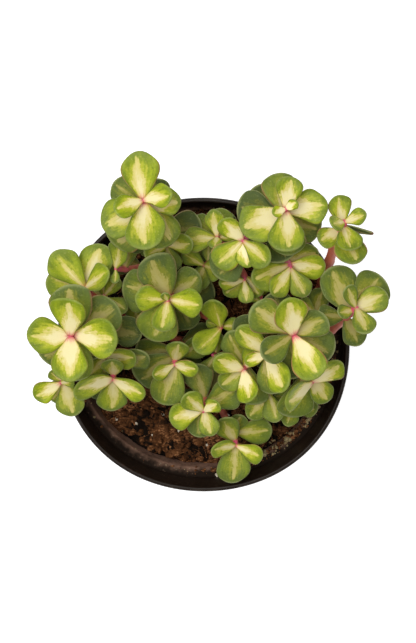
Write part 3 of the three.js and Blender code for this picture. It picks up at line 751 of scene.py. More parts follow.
# A row gives a shoot's top node, its lean (compass, angle), the foot that it rises from or the shoot and the
# share of its height that it branches from, and its leaf tips in plan from the node, two to a pair, youngest
# first. Old counts the older pairs below. Broad and pink are its leaves' breadth and blush, stout thickens
# its stem, and flames (how much cream, of 8) and ages (of 9) have a digit for each tip.
SHOOTS = [
    dict(name="A", stem=1, node=(-19.5, 55, 138), lean=(110, 10), foot=(-9, 24), old=3,
         tips=[(-9, -2.5), (9.5, 3), (-1.5, 15.5), (2, -16), (-13.5, -8.5), (12, 0), (-9, 6),
               (9, -15), (-10, -16)],
         flames="674578147", ages="111222734", pink=0.8),
    dict(name="C", stem=2, node=(-44, 9.5, 132), lean=(180, 8), foot=(-17, 8), old=3, broad=1.1,
         tips=[(0, 13.5), (0, -13.5), (17, 0.5), (-14, -0.5), (-1, 17.5), (1, -15.5), (15, 9),
               (-12, -10)],
         flames="78765355", ages="11117577", pink=1),
    dict(name="L", stem=3, node=(30, 10, 134), lean=(-20, 6), foot=(16, 5), old=3,
         tips=[(-3.5, 14.5), (7.5, -13), (10, 6.5), (-10, -7), (-14, 8.5), (13, -7), (2, -16)],
         flames="8753632", ages="1178689", pink=1),
    dict(name="S", stem=4, node=(27, 52, 136), lean=(90, 8), foot=(13, 29), old=3, broad=1.05,
         tips=[(-4.5, -1), (3.5, 2.5), (2, 10), (0, -13.5), (13.5, 2), (-14, -8), (-3, 10.5),
               (2, -16), (-15.5, -1), (12, -8)],
         flames="9986884543", ages="0023125697", pink=0.9),
    dict(name="V", stem=5, node=(46.5, 47.5, 130), lean=(75, 26), foot=(39, 9), old=0, broad=1.08,
         stout=0.5, tips=[(7, 2.5), (-5, -0.5), (-2.5, 8), (2.5, -9), (3.5, -14), (-8, -7)],
         flames="645446", ages="323343", pink=1),
    dict(name="W", stem=6, node=(51, 18.5, 126), lean=(60, 24), foot=(35, -5), old=0, stout=0.4,
         tips=[(-3.5, 7), (3.5, -7.5), (10, 4.5), (-6, -2), (10, 8), (-8.5, 12.5), (1.5, -14),
               (-12, -4.5)],
         flames="45655543", ages="65467788", pink=0.8),
    dict(name="H", stem=7, node=(-12, 20, 122), lean=(-100, 12), foot=(-5, 10), old=3, broad=1.1,
         tips=[(-1, 3.2), (-1.5, -9.5), (-10.5, 1.5), (11.5, -1), (-6, 14.5), (-6, -15), (10.5, 8),
               (-16, 2.5)],
         flames="43234343", ages="53218577"),
    dict(name="I", stem=7, node=(6, 8, 100), lean=(-160, 12), branch=("H", 0.35), old=0,
         tips=[(-3, 11), (-8.5, -7.5), (6.5, 1), (-5, 2)],
         flames="1122", ages="3355"),
    dict(name="Q", stem=8, node=(13, 40.5, 124), lean=(-150, 16), foot=(5, 25), old=2,
         tips=[(-6.5, 7.5), (9, -6.5), (-8.5, -8.5), (1.5, -9), (-10.5, -14)],
         flames="84393", ages="13208", pink=0.8),
    dict(name="K", stem=3, node=(21, 1.5, 120), lean=(-160, 16), branch=("L", 0.35), old=1, broad=0.85,
         tips=[(-7, -2), (7, -10), (-9, 9.5), (2, -14.5)],
         flames="9865", ages="0137", pink=0.8),
    dict(name="J", stem=9, node=(13.5, -5, 112), lean=(-140, 18), foot=(10, -4), old=2,
         tips=[(-9.5, 5), (2.5, -9.5), (-7, -6.5), (8, 7), (-5, 12.5), (4, -13), (-12, 6.5)],
         flames="7945243", ages="2053778"),
    dict(name="M", stem=10, node=(37.5, -9, 114), lean=(-50, 30), foot=(25, -4), old=2,
         tips=[(-10, -4.5), (8.5, 8.5), (6, -6.5), (-4, 7), (-8, -15)],
         flames="87744", ages="12556"),
    dict(name="T", stem=4, node=(29.5, 30.5, 116), lean=(-90, 18), branch=("S", 0.3), old=1,
         tips=[(-6.5, -8.5), (5, -9.5), (11.5, 0), (-12.5, -5), (9, 6)],
         flames="64645", ages="35146"),
    dict(name="E", stem=11, node=(-31, -8.5, 112), lean=(-90, 32), foot=(-15, -5), old=2,
         tips=[(-12.5, -1.5), (11, -4), (-0.5, -11.5), (0.5, 8)],
         flames="7755", ages="1155"),
    dict(name="F", stem=11, node=(-33.5, -1, 108), lean=(-40, 20), branch=("E", 0.35), old=1,
         tips=[(10.5, 0.5), (-6, -5), (2, 8)],
         flames="545", ages="465"),
    dict(name="D", stem=11, node=(-49, -9.5, 112), lean=(-140, 22), branch=("E", 0.4), old=2, broad=1.12,
         tips=[(-8.5, -4.5), (5, 2), (5, -11), (-3.5, 4), (-3, -8)],
         flames="75544", ages="13555"),
    dict(name="B", stem=2, node=(-40.5, 23, 108), lean=(120, 30), branch=("C", 0.35), old=1,
         tips=[(-10, 12.5), (9, 6), (5, 15.5), (-13, 3)],
         flames="2474", ages="2234"),
    dict(name="R", stem=8, node=(4.5, 41, 112), lean=(120, 24), branch=("Q", 0.4), old=1,
         tips=[(-1.5, 9), (0, -5), (-11, -1.5), (8, 2), (-9.5, 3.5), (1.5, 8.5)],
         flames="653444", ages="344565"),
    dict(name="O", stem=12, node=(0, -20, 108), lean=(-110, 8), foot=(1, -10), old=2,
         tips=[(5, 4), (-6, 7), (-11.5, -2), (3, -8.5), (12, 7), (-2, -10), (-2.5, 15)],
         flames="8575333", ages="1314788"),
    dict(name="P", stem=12, node=(11.5, -34.5, 96), lean=(-85, 22), branch=("O", 0.4), old=0,
         tips=[(-8.5, 0.5), (9, -3), (-0.5, -13.5), (-5, 10.5), (12.5, 5), (1.5, 11)],
         flames="453434", ages="216667"),
    dict(name="U", stem=8, node=(14, 25, 104), lean=(-110, 26), branch=("Q", 0.35), old=0,
         tips=[(-8.5, -0.5), (1, -7.5), (6, -5), (-6.5, -5.5)],
         flames="6554", ages="3445"),
    dict(name="G", stem=13, node=(-10, -4.5, 104), lean=(-95, 24), foot=(-5, 0), old=1,
         tips=[(-7.5, -3), (8, -0.5), (-4, -14), (1.5, 9), (-15, -6.5), (13, 4), (-13.5, 3)],
         flames="7645434", ages="3265877"),
    dict(name="N", stem=10, node=(22.5, -14.5, 100), lean=(-90, 16), branch=("M", 0.35), old=0,
         tips=[(-6.5, -9), (2.5, -10), (-7, 4), (8, 2)],
         flames="5333", ages="5577"),
    dict(name="X", stem=6, node=(39, 13.5, 100), lean=(60, 16), branch=("W", 0.3), old=0,
         tips=[(7, -4), (-6, 4), (2, 8), (2, -9)],
         flames="3333", ages="6677"),
    dict(name="Y", stem=1, node=(-30, 30, 112), lean=(150, 20), branch=("A", 0.3), old=1,
         tips=[(3, 9), (-3, -6), (7, -4), (-8, 3), (4, 12)],
         flames="43333", ages="56677"),
    dict(name="Z1", stem=1, node=(-12, 38, 112), lean=(-20, 20), branch=("A", 0.35), old=1,
         tips=[(9, 2), (-8, -3), (-1, 8), (2, -9)],
         flames="4333", ages="5577"),
    dict(name="Z2", stem=8, node=(0, 30, 102), lean=(180, 16), branch=("R", 0.3), old=0,
         tips=[(-7, 5), (8, -4), (-3, -8), (4, 8)],
         flames="2222", ages="6677"),
    dict(name="Z3", stem=13, node=(-24, 8, 98), lean=(160, 18), branch=("G", 0.45), old=0,
         tips=[(-8, -3), (8, 4), (-3, 9), (3, -8)],
         flames="2222", ages="6677"),
    dict(name="Z4", stem=4, node=(20, 17, 98), lean=(-60, 12), branch=("T", 0.2), old=0,
         tips=[(7, -2), (-6, 3), (2, 7), (-1, -8)],
         flames="2222", ages="6677"),
    dict(name="Z5", stem=9, node=(3, -2, 96), lean=(170, 16), branch=("J", 0.4), old=0,
         tips=[(-7, 3), (8, -3), (2, 8), (-3, -8)],
         flames="2222", ages="6677"),
    dict(name="Z6", stem=10, node=(32, -19, 94), lean=(-80, 16), branch=("N", 0.3), old=0,
         tips=[(-3, -8), (3, 7), (8, -3), (-7, 2)],
         flames="2222", ages="5566"),
    dict(name="Z7", stem=2, node=(-34, 20, 104), lean=(60, 18), branch=("B", 0.3), old=0,
         tips=[(5, 6), (-5, -6), (8, -5), (-4, 6)],
         flames="3333", ages="5566"),
]
USUAL_PINK = 0.6
FULL_FLAME = 8
FULL_AGE = 9
GROWTH_SEED = 20
DRAW_FACTOR = 48271
DRAW_LIMIT = 2**31 - 1
FOOT_DEPTH = 15
ROUTE_SAMPLES = 20
FOOT_HANDLE = 0.4
TOP_HANDLE = 0.35
FOOT_RADIUS = 2.2
SHOOT_RADIUS = 1.6
TIP_RADIUS = 0.95
BRANCH_RISE = 0.4
LEAF_THICKNESS = 1.5
LONGEST_LEAF = 16.5
SHORTEST_LEAF = 3
FLATTEST_PLAN = 0.6
GROWN_LEAF = (12, 14.5)
PAIR_DROP = (1, 3.4, 7.5, 12, 17)
PAIR_PITCH = (32, 18, 5, -4, -8)
PAIR_BREADTH = (0.72, 0.79, 0.82, 0.84, 0.84)
OLD_PAIR_GAP = 9
OLD_PAIR_PITCH = -3
OLD_PAIR_BREADTH = 0.84
OLD_PAIR_TURN = 0.4
BARE_FOOT = 9
BLADE_START = 0.2
BLADE_END = 1.08
BLADE_HALF = 0.58
BLADE_TAPER = 1.5
LEAF_ROOM = 1.9
STEM_ROOM = 0.6
SOIL_ROOM = 1.2
RIM_ROOM = 1.2
BLADE_PLACES = np.array([
    (0.35, 0), (0.55, 0), (0.75, 0), (0.98, 0), (0.4, 0.3), (0.4, -0.3),
    (0.65, 0.26), (0.65, -0.26), (0.66, 0.48), (0.66, -0.48), (0.88, 0.36), (0.88, -0.36),
])
WAYS_CLEAR = [
    (0, 0, 1), (10, 0, 1), (-10, 0, 1), (0, 10, 1), (0, -10, 1), (20, 0, 0.95),
    (-20, 0, 0.95), (12, 18, 0.9), (12, -18, 0.9), (-12, 18, 0.88), (-12, -18, 0.88), (30, 0, 0.85),
    (-30, 0, 0.85), (20, 30, 0.8), (20, -30, 0.8), (-20, 30, 0.7), (-20, -30, 0.7), (40, 0, 0.7),
]


class Grown:
    """A shoot or a leaf, with what is known of it by name."""

    def __init__(self, **facts):
        self.__dict__.update(facts)


def seeded_draw(seed):
    """A repeatable row of numbers between 0 and 1."""
    state = seed
    while True:
        state = state * DRAW_FACTOR % DRAW_LIMIT
        yield state / DRAW_LIMIT


def shoot_route(start, node, axis, rising):
    """Samples of one smooth bend from a shoot's start to its top node."""
    reach = np.linalg.norm(node - start)
    foot_handle = start + rising * reach * FOOT_HANDLE
    top_handle = node - axis * reach * TOP_HANDLE
    samples = []
    for i in range(ROUTE_SAMPLES + 1):
        t = i / ROUTE_SAMPLES
        lower = (1 - t) ** 3 * start + 3 * (1 - t) ** 2 * t * foot_handle
        samples.append(lower + 3 * (1 - t) * t**2 * top_handle + t**3 * node)
    return np.array(samples)


def back_from_top(route, drop):
    """The point and the direction of a route at a given length back from its top."""
    for i in range(len(route) - 1, 0, -1):
        step = np.linalg.norm(route[i] - route[i - 1])
        along = (route[i] - route[i - 1]) / step
        if drop <= step or i == 1:
            return route[i] - along * drop, along
        drop -= step


def lean_axis(lean):
    """The direction of a lean, given as its compass turn and its angle from upright."""
    compass, angle = (math.radians(degrees) for degrees in lean)
    out = math.sin(angle)
    return np.array([out * math.cos(compass), out * math.sin(compass), math.cos(angle)])


def pitched_direction(axis, compass, pitch):
    """The direction in plan raised so that it stands at the pitch to the stem's axis."""
    along = axis[0] * math.cos(compass) + axis[1] * math.sin(compass)
    rise = math.asin(min(1, math.sin(pitch) / math.hypot(along, axis[2]))) - math.atan2(along, axis[2])
    flat = math.cos(rise)
    return np.array([flat * math.cos(compass), flat * math.sin(compass), math.sin(rise)])


def blade_places(leaf):
    """Points spread over a leaf's blade, at which its room is tested."""
    along = np.outer(BLADE_PLACES[:, 0] * leaf.length, leaf.direction)
    return leaf.base + along + np.outer(BLADE_PLACES[:, 1] * leaf.breadth, leaf.across)


def meets_leaf(leaf, points):
    """Whether any of the points is in the room that a leaf's blade needs."""
    reach = points - leaf.base
    along = reach @ leaf.direction / leaf.length
    across = np.abs(reach @ leaf.across) / leaf.breadth
    near = np.abs(reach @ leaf.normal) <= LEAF_ROOM
    between = (along >= BLADE_START) & (along <= BLADE_END)
    return np.any(near & between & (across < BLADE_HALF * np.minimum(1, along * BLADE_TAPER)))


def meets_stem(shoot, points):
    """Whether any of the points is too near to a shoot's stem."""
    gaps = np.linalg.norm(shoot.route[:, None] - points[None], axis=2)
    shares = np.arange(ROUTE_SAMPLES + 1) / ROUTE_SAMPLES
    radii = shoot.radii[0] + (shoot.radii[1] - shoot.radii[0]) * shares
    return np.any(gaps < radii[:, None] + STEM_ROOM + LEAF_THICKNESS / 2)


def meets_pot(points):
    """Whether any of the points is in the soil or too near to the pot's rim."""
    radius = np.hypot(points[:, 0], points[:, 1])
    in_soil = points[:, 2] < SOIL_LEVEL + SOIL_MOUND + SOIL_ROOM
    at_rim = (points[:, 2] < pot_height + RIM_ROOM) & (radius > BAND_FOOT_RADIUS - WALL - RIM_ROOM)
    return np.any(in_soil | at_rim)


def has_room(leaf, grown, shoots):
    """Whether a leaf is clear of the soil, the pot, the leaves grown before it and the other stems."""
    if meets_pot(leaf.places):
        return False
    for other in grown:
        if np.linalg.norm(other.base - leaf.base) > other.length + leaf.length:
            continue
        if other.shoot is leaf.shoot and other.pair == leaf.pair:
            continue
        if meets_leaf(other, leaf.places) or meets_leaf(leaf, other.places):
            return False
    return not any(shoot is not leaf.shoot and meets_stem(shoot, leaf.places) for shoot in shoots)


def routed_shoots():
    """Each shoot with its route: up from the soil, or out of the shoot that it branches from."""
    named = {}
    for row in SHOOTS:
        shoot = Grown(broad=1, pink=USUAL_PINK, flames="", ages="", stout=0, leaves=[])
        shoot.axis = lean_axis(row["lean"])
        shoot.__dict__.update(row)
        node = np.array(shoot.node, float)
        if "foot" in row:
            start = np.array([*shoot.foot, SOIL_LEVEL - FOOT_DEPTH], float)
            rising = np.array([0.0, 0.0, 1.0])
            shoot.radii = (FOOT_RADIUS, TIP_RADIUS)
        else:
            parent, share = shoot.branch
            start = named[parent].route[int(share * ROUTE_SAMPLES + 0.5)]
            rising = (node - start) / np.linalg.norm(node - start)
            rising[2] += BRANCH_RISE
            rising = rising / np.linalg.norm(rising)
            shoot.radii = (SHOOT_RADIUS, TIP_RADIUS)
        shoot.route = shoot_route(start, node, shoot.axis, rising)
        shoot.length = sum(np.linalg.norm(b - a) for a, b in zip(shoot.route, shoot.route[1:]))
        named[shoot.name] = shoot
    return list(named.values())


def shown_leaves(shoot):
    """The leaves whose tips are given."""
    wanted = []
    for i, tip in enumerate(shoot.tips):
        pair = i // 2
        base = back_from_top(shoot.route, PAIR_DROP[pair])[0]
        x, y = shoot.node[0] + tip[0] - base[0], shoot.node[1] + tip[1] - base[1]
        wanted.append(Grown(
            base=base, pair=pair, drop=PAIR_DROP[pair], compass=math.atan2(y, x), plan=math.hypot(x, y),
            grown=None, pitch=PAIR_PITCH[pair], ratio=PAIR_BREADTH[pair] * shoot.broad, order=i,
        ))
    return wanted


def old_leaves(shoot, draw):
    """The older pairs below those, down to the bare foot of the shoot."""
    wanted = []
    shown_pairs = math.ceil(len(shoot.tips) / 2)
    first_turn = math.atan2(shoot.tips[0][1], shoot.tips[0][0])
    for i in range(shoot.old * 2):
        row = i // 2
        pair = shown_pairs + row
        drop = PAIR_DROP[shown_pairs - 1] + OLD_PAIR_GAP * (1 + row)
        if drop > shoot.length - BARE_FOOT:
            break
        turn = first_turn + (pair % 2 + (i % 2) * 2) * (math.pi / 2)
        compass = turn + (next(draw) - 0.5) * OLD_PAIR_TURN
        grown = GROWN_LEAF[0] + (GROWN_LEAF[1] - GROWN_LEAF[0]) * next(draw)
        wanted.append(Grown(
            base=back_from_top(shoot.route, drop)[0], pair=pair, drop=drop, compass=compass, plan=0,
            grown=grown, pitch=OLD_PAIR_PITCH, ratio=OLD_PAIR_BREADTH, order=len(shoot.tips) + i,
        ))
    return wanted


def grow_leaf(shoot, wanted, grown, shoots):
    """Grows one leaf the first way that finds room, and leaves it out where none does."""
    for lift, swing, size in WAYS_CLEAR:
        compass = wanted.compass + math.radians(swing)
        direction = pitched_direction(shoot.axis, compass, math.radians(wanted.pitch + lift))
        flat = max(FLATTEST_PLAN, math.hypot(direction[0], direction[1]))
        length = min(LONGEST_LEAF, wanted.grown or wanted.plan / flat) * size
        if length < SHORTEST_LEAF:
            return
        normal = shoot.axis - direction * (shoot.axis @ direction)
        normal = normal / np.linalg.norm(normal)
        leaf = Grown(
            shoot=shoot, pair=wanted.pair, drop=wanted.drop, order=wanted.order, base=wanted.base,
            direction=direction, normal=normal, across=np.cross(normal, direction), length=length,
            breadth=length * wanted.ratio,
        )
        leaf.places = blade_places(leaf)
        if has_room(leaf, grown, shoots):
            grown.append(leaf)
            shoot.leaves.append(leaf)
            return


def grow_bush():
    """All shoots with their leaves: those whose tips are given first, then the older ones below them."""
    draw = seeded_draw(GROWTH_SEED)
    shoots = routed_shoots()
    grown = []
    for shoot in shoots:
        for wanted in shown_leaves(shoot):
            grow_leaf(shoot, wanted, grown, shoots)
    for shoot in shoots:
        for wanted in old_leaves(shoot, draw):
            grow_leaf(shoot, wanted, grown, shoots)
    return shoots


bush = grow_bush()
stem_nodes = sorted(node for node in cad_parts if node.startswith("leafy_stem_"))

# Stems. Smooth fleshy bark, salmon to magenta on the young tips and dull red-brown and corky at the foot,
# with a swollen joint at each pair of leaves and ring scars where old pairs have dropped. Each shoot is a
# tube drawn along its route, and a side shoot's foot is sunk in the stem that it grew from.
STEM_SIDES = 8
RING_STEP = 1.5
JOINT_SWELLING = 0.22
JOINT_LENGTH = 0.9
JOINT_RINGS = (-0.7, 0, 0.7)
SCAR_GAP = 7
MOST_SCARS = 11
SCAR_FREE_FOOT = 2
COLLAR_SWELLING = 0.45
COLLAR_LENGTH = 2.2
BUD_DROP = 0.8
TIP_LENGTH = 4
TIP_THINNING = 0.42
TIP_DOME = [(0.3, 0.8), (0.5, 0.45)]
FIRST_FACING = (math.cos(0.3), math.sin(0.3), 0.1)
CUTTING_AGE = 1.0
SIDE_SHOOT_AGE = 0.75
BARK_TIP = (214, 84, 118)
BARK_YOUNG = (204, 112, 92)
BARK_GROWN = (182, 92, 68)
BARK_OLD = (116, 64, 46)
BARK_CORK = (146, 118, 92)
BARK_SCAR = (92, 42, 34)
BARK_GLOW = (0.0012, 0.0005, 0.0003)


def fleshy_bark():
    """Bark that turns from magenta through salmon and brown to cork with age, with dark joints and scars."""
    finish = Finish("fleshy_bark", {"Specular IOR Level": 0.4, "Subsurface Weight": 0.08})
    finish.surface.inputs["Subsurface Radius"].default_value = BARK_GLOW
    place = finish.place()
    age = finish.number("stem_age")
    joint = finish.number("stem_joint")
    blotch = place.grain(240, 4, 0.6)
    fine = place.grain(1500, 4, 0.65)
    length_lines = place.scaled((1800, 1800, 260)).grain(1)
    tone = age + (blotch - 0.5) * 0.35
    colour = finish.mix(tone.fade(0.0, 0.16), BARK_TIP, BARK_YOUNG)
    colour = colour.under(tone.fade(0.15, 0.55), BARK_GROWN).under(tone.fade(0.6, 0.95), BARK_OLD)
    colour = colour.under(age.fade(0.45, 0.9) * fine.fade(0.52, 0.66), BARK_CORK)
    colour = colour.under(joint * 0.75 * age.fade(0.2, 0.5), BARK_SCAR)
    finish.paint("Base Color", colour)
    finish.paint("Roughness", (age + fine * 0.2).curve([(0.1, 0.38), (0.9, 0.8)]))
    finish.relief(length_lines * 0.6 + fine, strength=0.45, depth_mm=0.16)
    return finish


def ring_frame(point, along, facing):
    """Where a ring of the tube stands: its axis along the stem, turned as little as can be."""
    facing = (facing - along * facing.dot(along)).normalized()
    columns = Matrix((facing, along.cross(facing), along)).transposed().to_4x4()
    return Matrix.Translation(point) @ columns, facing


def stem_rings(shoot):
    """The rings of a shoot's tube, from its foot to the dome of its bud: place, radius, age and swelling."""
    joints = sorted({leaf.drop for leaf in shoot.leaves})
    lowest = joints[-1] if joints else 0
    scars = [lowest + SCAR_GAP * k for k in range(1, MOST_SCARS + 1)]
    marks = joints + [scar for scar in scars if scar < shoot.length - SCAR_FREE_FOOT]
    count = max(2, round(shoot.length / RING_STEP))
    drops = {shoot.length * (1 - i / count) for i in range(count)}
    drops |= {mark + shift for mark in marks for shift in JOINT_RINGS}
    drops = {drop for drop in drops if drop > BUD_DROP} | {BUD_DROP}
    oldness = CUTTING_AGE if hasattr(shoot, "foot") else SIDE_SHOOT_AGE
    facing = Vector(FIRST_FACING)
    rings = []
    for drop in sorted(drops, reverse=True):
        point, along = back_from_top(shoot.route, drop)
        share = drop / shoot.length
        radius = shoot.radii[1] + (shoot.radii[0] - shoot.radii[1]) * share + shoot.stout
        swelling = sum(math.exp(-(((drop - mark) / JOINT_LENGTH) ** 2)) for mark in marks)
        collar = math.exp(-(shoot.length - drop) / COLLAR_LENGTH)
        slender = max(0, 1 - drop / TIP_LENGTH)
        radius += JOINT_SWELLING * min(1, swelling) * (1 - slender) + COLLAR_SWELLING * collar
        radius -= TIP_THINNING * slender
        here, facing = ring_frame(Vector(point), Vector(along), facing)
        rings.append((here, radius, share * oldness, min(1, swelling)))
    top, top_radius = rings[-1][:2]
    for rise, narrowing in TIP_DOME:
        rings.append((top @ Matrix.Translation((0, 0, rise)), top_radius * narrowing, 0, 0))
    return rings


def draw_stem(shape, rings, age_layer, joint_layer):
    """Draws a closed tube up through the rings of one shoot."""
    before, before_radius = rings[0][:2]
    made = bmesh.ops.create_circle(
        shape, cap_ends=True, segments=STEM_SIDES, radius=before_radius, matrix=before,
    )["verts"]
    edges = list({e for v in made for e in v.link_edges})
    for here, radius, age, swelling in rings:
        if here is not before:
            geom = bmesh.ops.extrude_edge_only(shape, edges=edges)["geom"]
            made = [v for v in geom if isinstance(v, bmesh.types.BMVert)]
            edges = [e for e in geom if isinstance(e, bmesh.types.BMEdge) and e.is_boundary]
            growth = Matrix.Scale(radius / before_radius, 4)
            bmesh.ops.transform(shape, matrix=here @ growth @ before.inverted(), verts=made)
        for v in made:
            v[age_layer], v[joint_layer] = age, swelling
        before, before_radius = here, radius
    bmesh.ops.edgeloop_fill(shape, edges=edges)


def leafy_stem_tubes(number):
    shape = bmesh.new()
    age_layer = shape.verts.layers.float.new("stem_age")
    joint_layer = shape.verts.layers.float.new("stem_joint")
    for shoot in bush:
        if shoot.stem == number:
            draw_stem(shape, stem_rings(shoot), age_layer, joint_layer)
    bmesh.ops.recalc_face_normals(shape, faces=shape.faces)
    return shape


bark = fleshy_bark()
for number, node in enumerate(stem_nodes, start=1):
    finish_piece(node + "_bark", leafy_stem_tubes(number), bark, [node], rounds=1)

# Leaves. Thick fleshy pads in opposite pairs, wedge shaped at the foot and round at the end: bright green
# with a cream flame when young, grey-green with a tan stripe when old, and magenta at the stem. Each pad is
# one closed grid, bent to its place on its shoot. One dry leaf still hangs on, shrunk to a sliver.
PAD_COLUMNS = 4
PAD_ROWS = 6
FOOT_SHARE = 0.045
SHOULDER = (0.02, 0.7)
EDGE_THINNING = 0.38
END_THINNING = 0.35
CORNER_DRAW = 2.2
WAVE_COUNT = 9
GROOVE = 0.16
GROOVE_END = 1.1
OVERSIZE = 1.045
WAVES = (0.015, 0.07)
SKEWS = (-0.08, 0.08)
TIP_ROUNDING = 0.13
TIP_ROUNDINGS = (0.7, 1.6)
WEDGES = (0.95, 1.45)
PAD_CUP = 0.07
LEAST_CUP = 0.6
YOUNG_CUP = 2.4
CUP_LOST_PER_PAIR = 0.5
CURLS = (-0.05, 0.03)
TWISTS = (-0.12, 0.12)
GROWN_THICKNESS = 1.1
SMALL_THICKNESS = 0.5
THICKNESS_PER_MM = 0.045
FIRST_AGE = 0.4
PAIRS_TO_AGE = 3
AGE_CHANCE = 0.15
YOUNG_FLAME = 0.85
FLAME_LOST = 0.4
FLAMES = (0.75, 1.2)
OWN_PLACES = (3, 90)
FLAME_SHIFTS = (-0.07, 0.07)
LEAST_BLUSH = 0.2
BLUSH_LOST = 0.8
RIM_RARITY = 3
RIM_LOST = 0.6
LEAF_SEED = 11
LEAF_FACTS = (
    "leaf_age", "leaf_draw", "leaf_flame", "leaf_shift", "leaf_blush", "leaf_rim", "leaf_painted_shade",
)
CREAM = (226, 212, 124)
CREAM_PALE = (246, 234, 180)
CREAM_OLD = (162, 152, 80)
LIME = (194, 194, 56)
LIME_OLD = (123, 125, 41)
GREEN = (170, 184, 24)
GREEN_OLD = (88, 104, 38)
EDGE_GREEN = (120, 138, 24)
EDGE_GREEN_OLD = (80, 95, 48)
DEEP_GREEN = (100, 118, 14)
DEEP_GREEN_OLD = (68, 82, 34)
MAGENTA = (212, 58, 106)
BLUSH = (238, 166, 148)
# The pale rim colour is partly a waxy edge and partly a painted highlight; it also colours pale specks on old
# leaves.
RIM_PALE = (170, 174, 112)
RIM_PINK = (206, 104, 96)
# Painted shade for low leaves: the dark green they are mixed towards, and the drop below the shoot's top at
# which it is full.
PAINTED_SHADE_GREEN = (54, 62, 18)
FULL_SHADE_DROP = 20
LEAF_GLOW = (0.0011, 0.0014, 0.0004)
FLAME_OUTLINE = [
    (0.0, 1.0), (0.26, 0.97), (0.42, 0.78), (0.55, 0.48), (0.68, 0.27), (0.82, 0.16), (0.97, 0.0),
]
WITHERED_SHOOT = "V"
WITHERED_DROP = 5
WITHERED_TIP = (10.3, -4.8, -8)
WITHERED_TURN = math.radians(55)
WITHERED_RATIO = 0.34
WITHERED_PAIR = 9


def variegated_leaf():
    """Green with a cream flame that frays into lime, a magenta foot, and a pale or pink rim. The pale rim is
    partly a painted highlight, and leaves low on their shoot are darkened with painted shade.
    """
    finish = Finish("variegated_leaf", {"Specular IOR Level": 0.2, "Subsurface Weight": 0.06})
    finish.surface.inputs["Subsurface Radius"].default_value = LEAF_GLOW
    age = finish.number("leaf_age")
    blush = finish.number("leaf_blush")
    flat = finish.node("ShaderNodeUVMap", 0, {}, uv_map="pad")
    across, along = flat.x_and_y()
    margin = abs(across - 0.5) * 2.0
    side = abs(across - 0.5 - finish.number("leaf_shift")) * 2.0
    edge = margin.or_more(along)

    def aged(young, old):
        return finish.mix(age, young, old)

    # Marks that run along the leaf lie on its pad, and fine ones lie in the plant, all at their real size.
    own_place = flat.moved(finish.number("leaf_draw"))
    feathers = own_place.scaled((4.6, 1.7, 1)).grain(1, 3, 0.6)
    streaks = own_place.scaled((17, 3.0, 1)).grain(1, 3, 0.6)
    place = finish.place()
    bloom = place.grain(380, 4, 0.6)
    flecks = place.grain(620, 3, 0.6)
    specks = place.grain(1500, 3, 0.7)
    pores = place.grain(2600, 2, 0.5)
    mottle = flecks * 0.4 + streaks * 0.6

    # How far a place lies inside the flame. It is widest at the foot, and its border is frayed.
    reach = along.curve(FLAME_OUTLINE) * finish.number("leaf_flame")
    fraying = (feathers - 0.5) * 1.5 + (streaks - 0.5) * 0.8 + (flecks - 0.5) * 0.6 + (specks - 0.5) * 0.5
    fraying = fraying * (reach * 0.75 + 0.22) * along.fade(0.06, 0.4)
    inwards = reach - side + fraying - along.fade(0.86, 1.0) * 0.4 - margin.fade(0.75, 1.0) * 0.25

    # Green that darkens towards the edge, lime next to the flame, and cream in it.
    depth = edge + (feathers - 0.5) * 1.2
    green = finish.mix(depth.fade(0.4, 1.05), aged(GREEN, GREEN_OLD), aged(EDGE_GREEN, EDGE_GREEN_OLD))
    green = green.under(mottle.fade(0.46, 0.26), aged(DEEP_GREEN, DEEP_GREEN_OLD))
    lime = inwards + (mottle - 0.5) * 1.4 - edge.fade(0.65, 1.0) * 0.35
    tinge = mottle.fade(0.5, 0.34) * inwards.fade(0.4, 0.0)
    cream = finish.mix(inwards.fade(0.05, 0.45), aged(CREAM, CREAM_OLD), aged(CREAM_PALE, CREAM_OLD))
    cream = cream.under(tinge * 0.7, aged(LIME, LIME_OLD))
    colour = green.under(lime.fade(-0.48, 0.04), aged(LIME, LIME_OLD)).under(inwards.fade(-0.06, 0.06), cream)

    # The blush at the foot, painted shade on low leaves, the rim, whose pale line is partly a painted
    # highlight, and pale and dark specks over all.
    warm = (along + streaks * 0.4).fade(0.46, 0.2) * blush
    hot = (along + streaks * 0.3).fade(0.33, 0.16) * blush
    # The blush, then painted shade that darkens leaves growing far below their shoot's top.
    colour = colour.under(warm * 0.3, BLUSH).under(finish.number("leaf_painted_shade") * 0.38, PAINTED_SHADE_GREEN)
    # The pale rim, strongest on old leaves, is partly a waxy edge and partly a painted highlight.
    colour = colour.under(hot * 0.9, MAGENTA).under(edge.fade(0.92, 1.0) * (age * 0.6 + 0.15), RIM_PALE)
    colour = colour.under(margin.fade(0.86, 1.0) * (finish.number("leaf_rim") * 0.8), RIM_PINK)
    colour = colour.under(specks.fade(0.56, 0.7) * 0.22, aged(CREAM, RIM_PALE))
    dark_specks = specks.fade(0.44, 0.3) * inwards.fade(0.1, -0.1) * 0.35
    finish.paint("Base Color", colour.under(dark_specks, aged(DEEP_GREEN, DEEP_GREEN_OLD)))
    finish.paint("Roughness", (bloom * 0.5 + age * 0.4).curve([(0.1, 0.4), (0.8, 0.68)]))
    finish.relief(streaks * 0.5 + pores * 0.5, strength=0.3, depth_mm=0.16)
    return finish


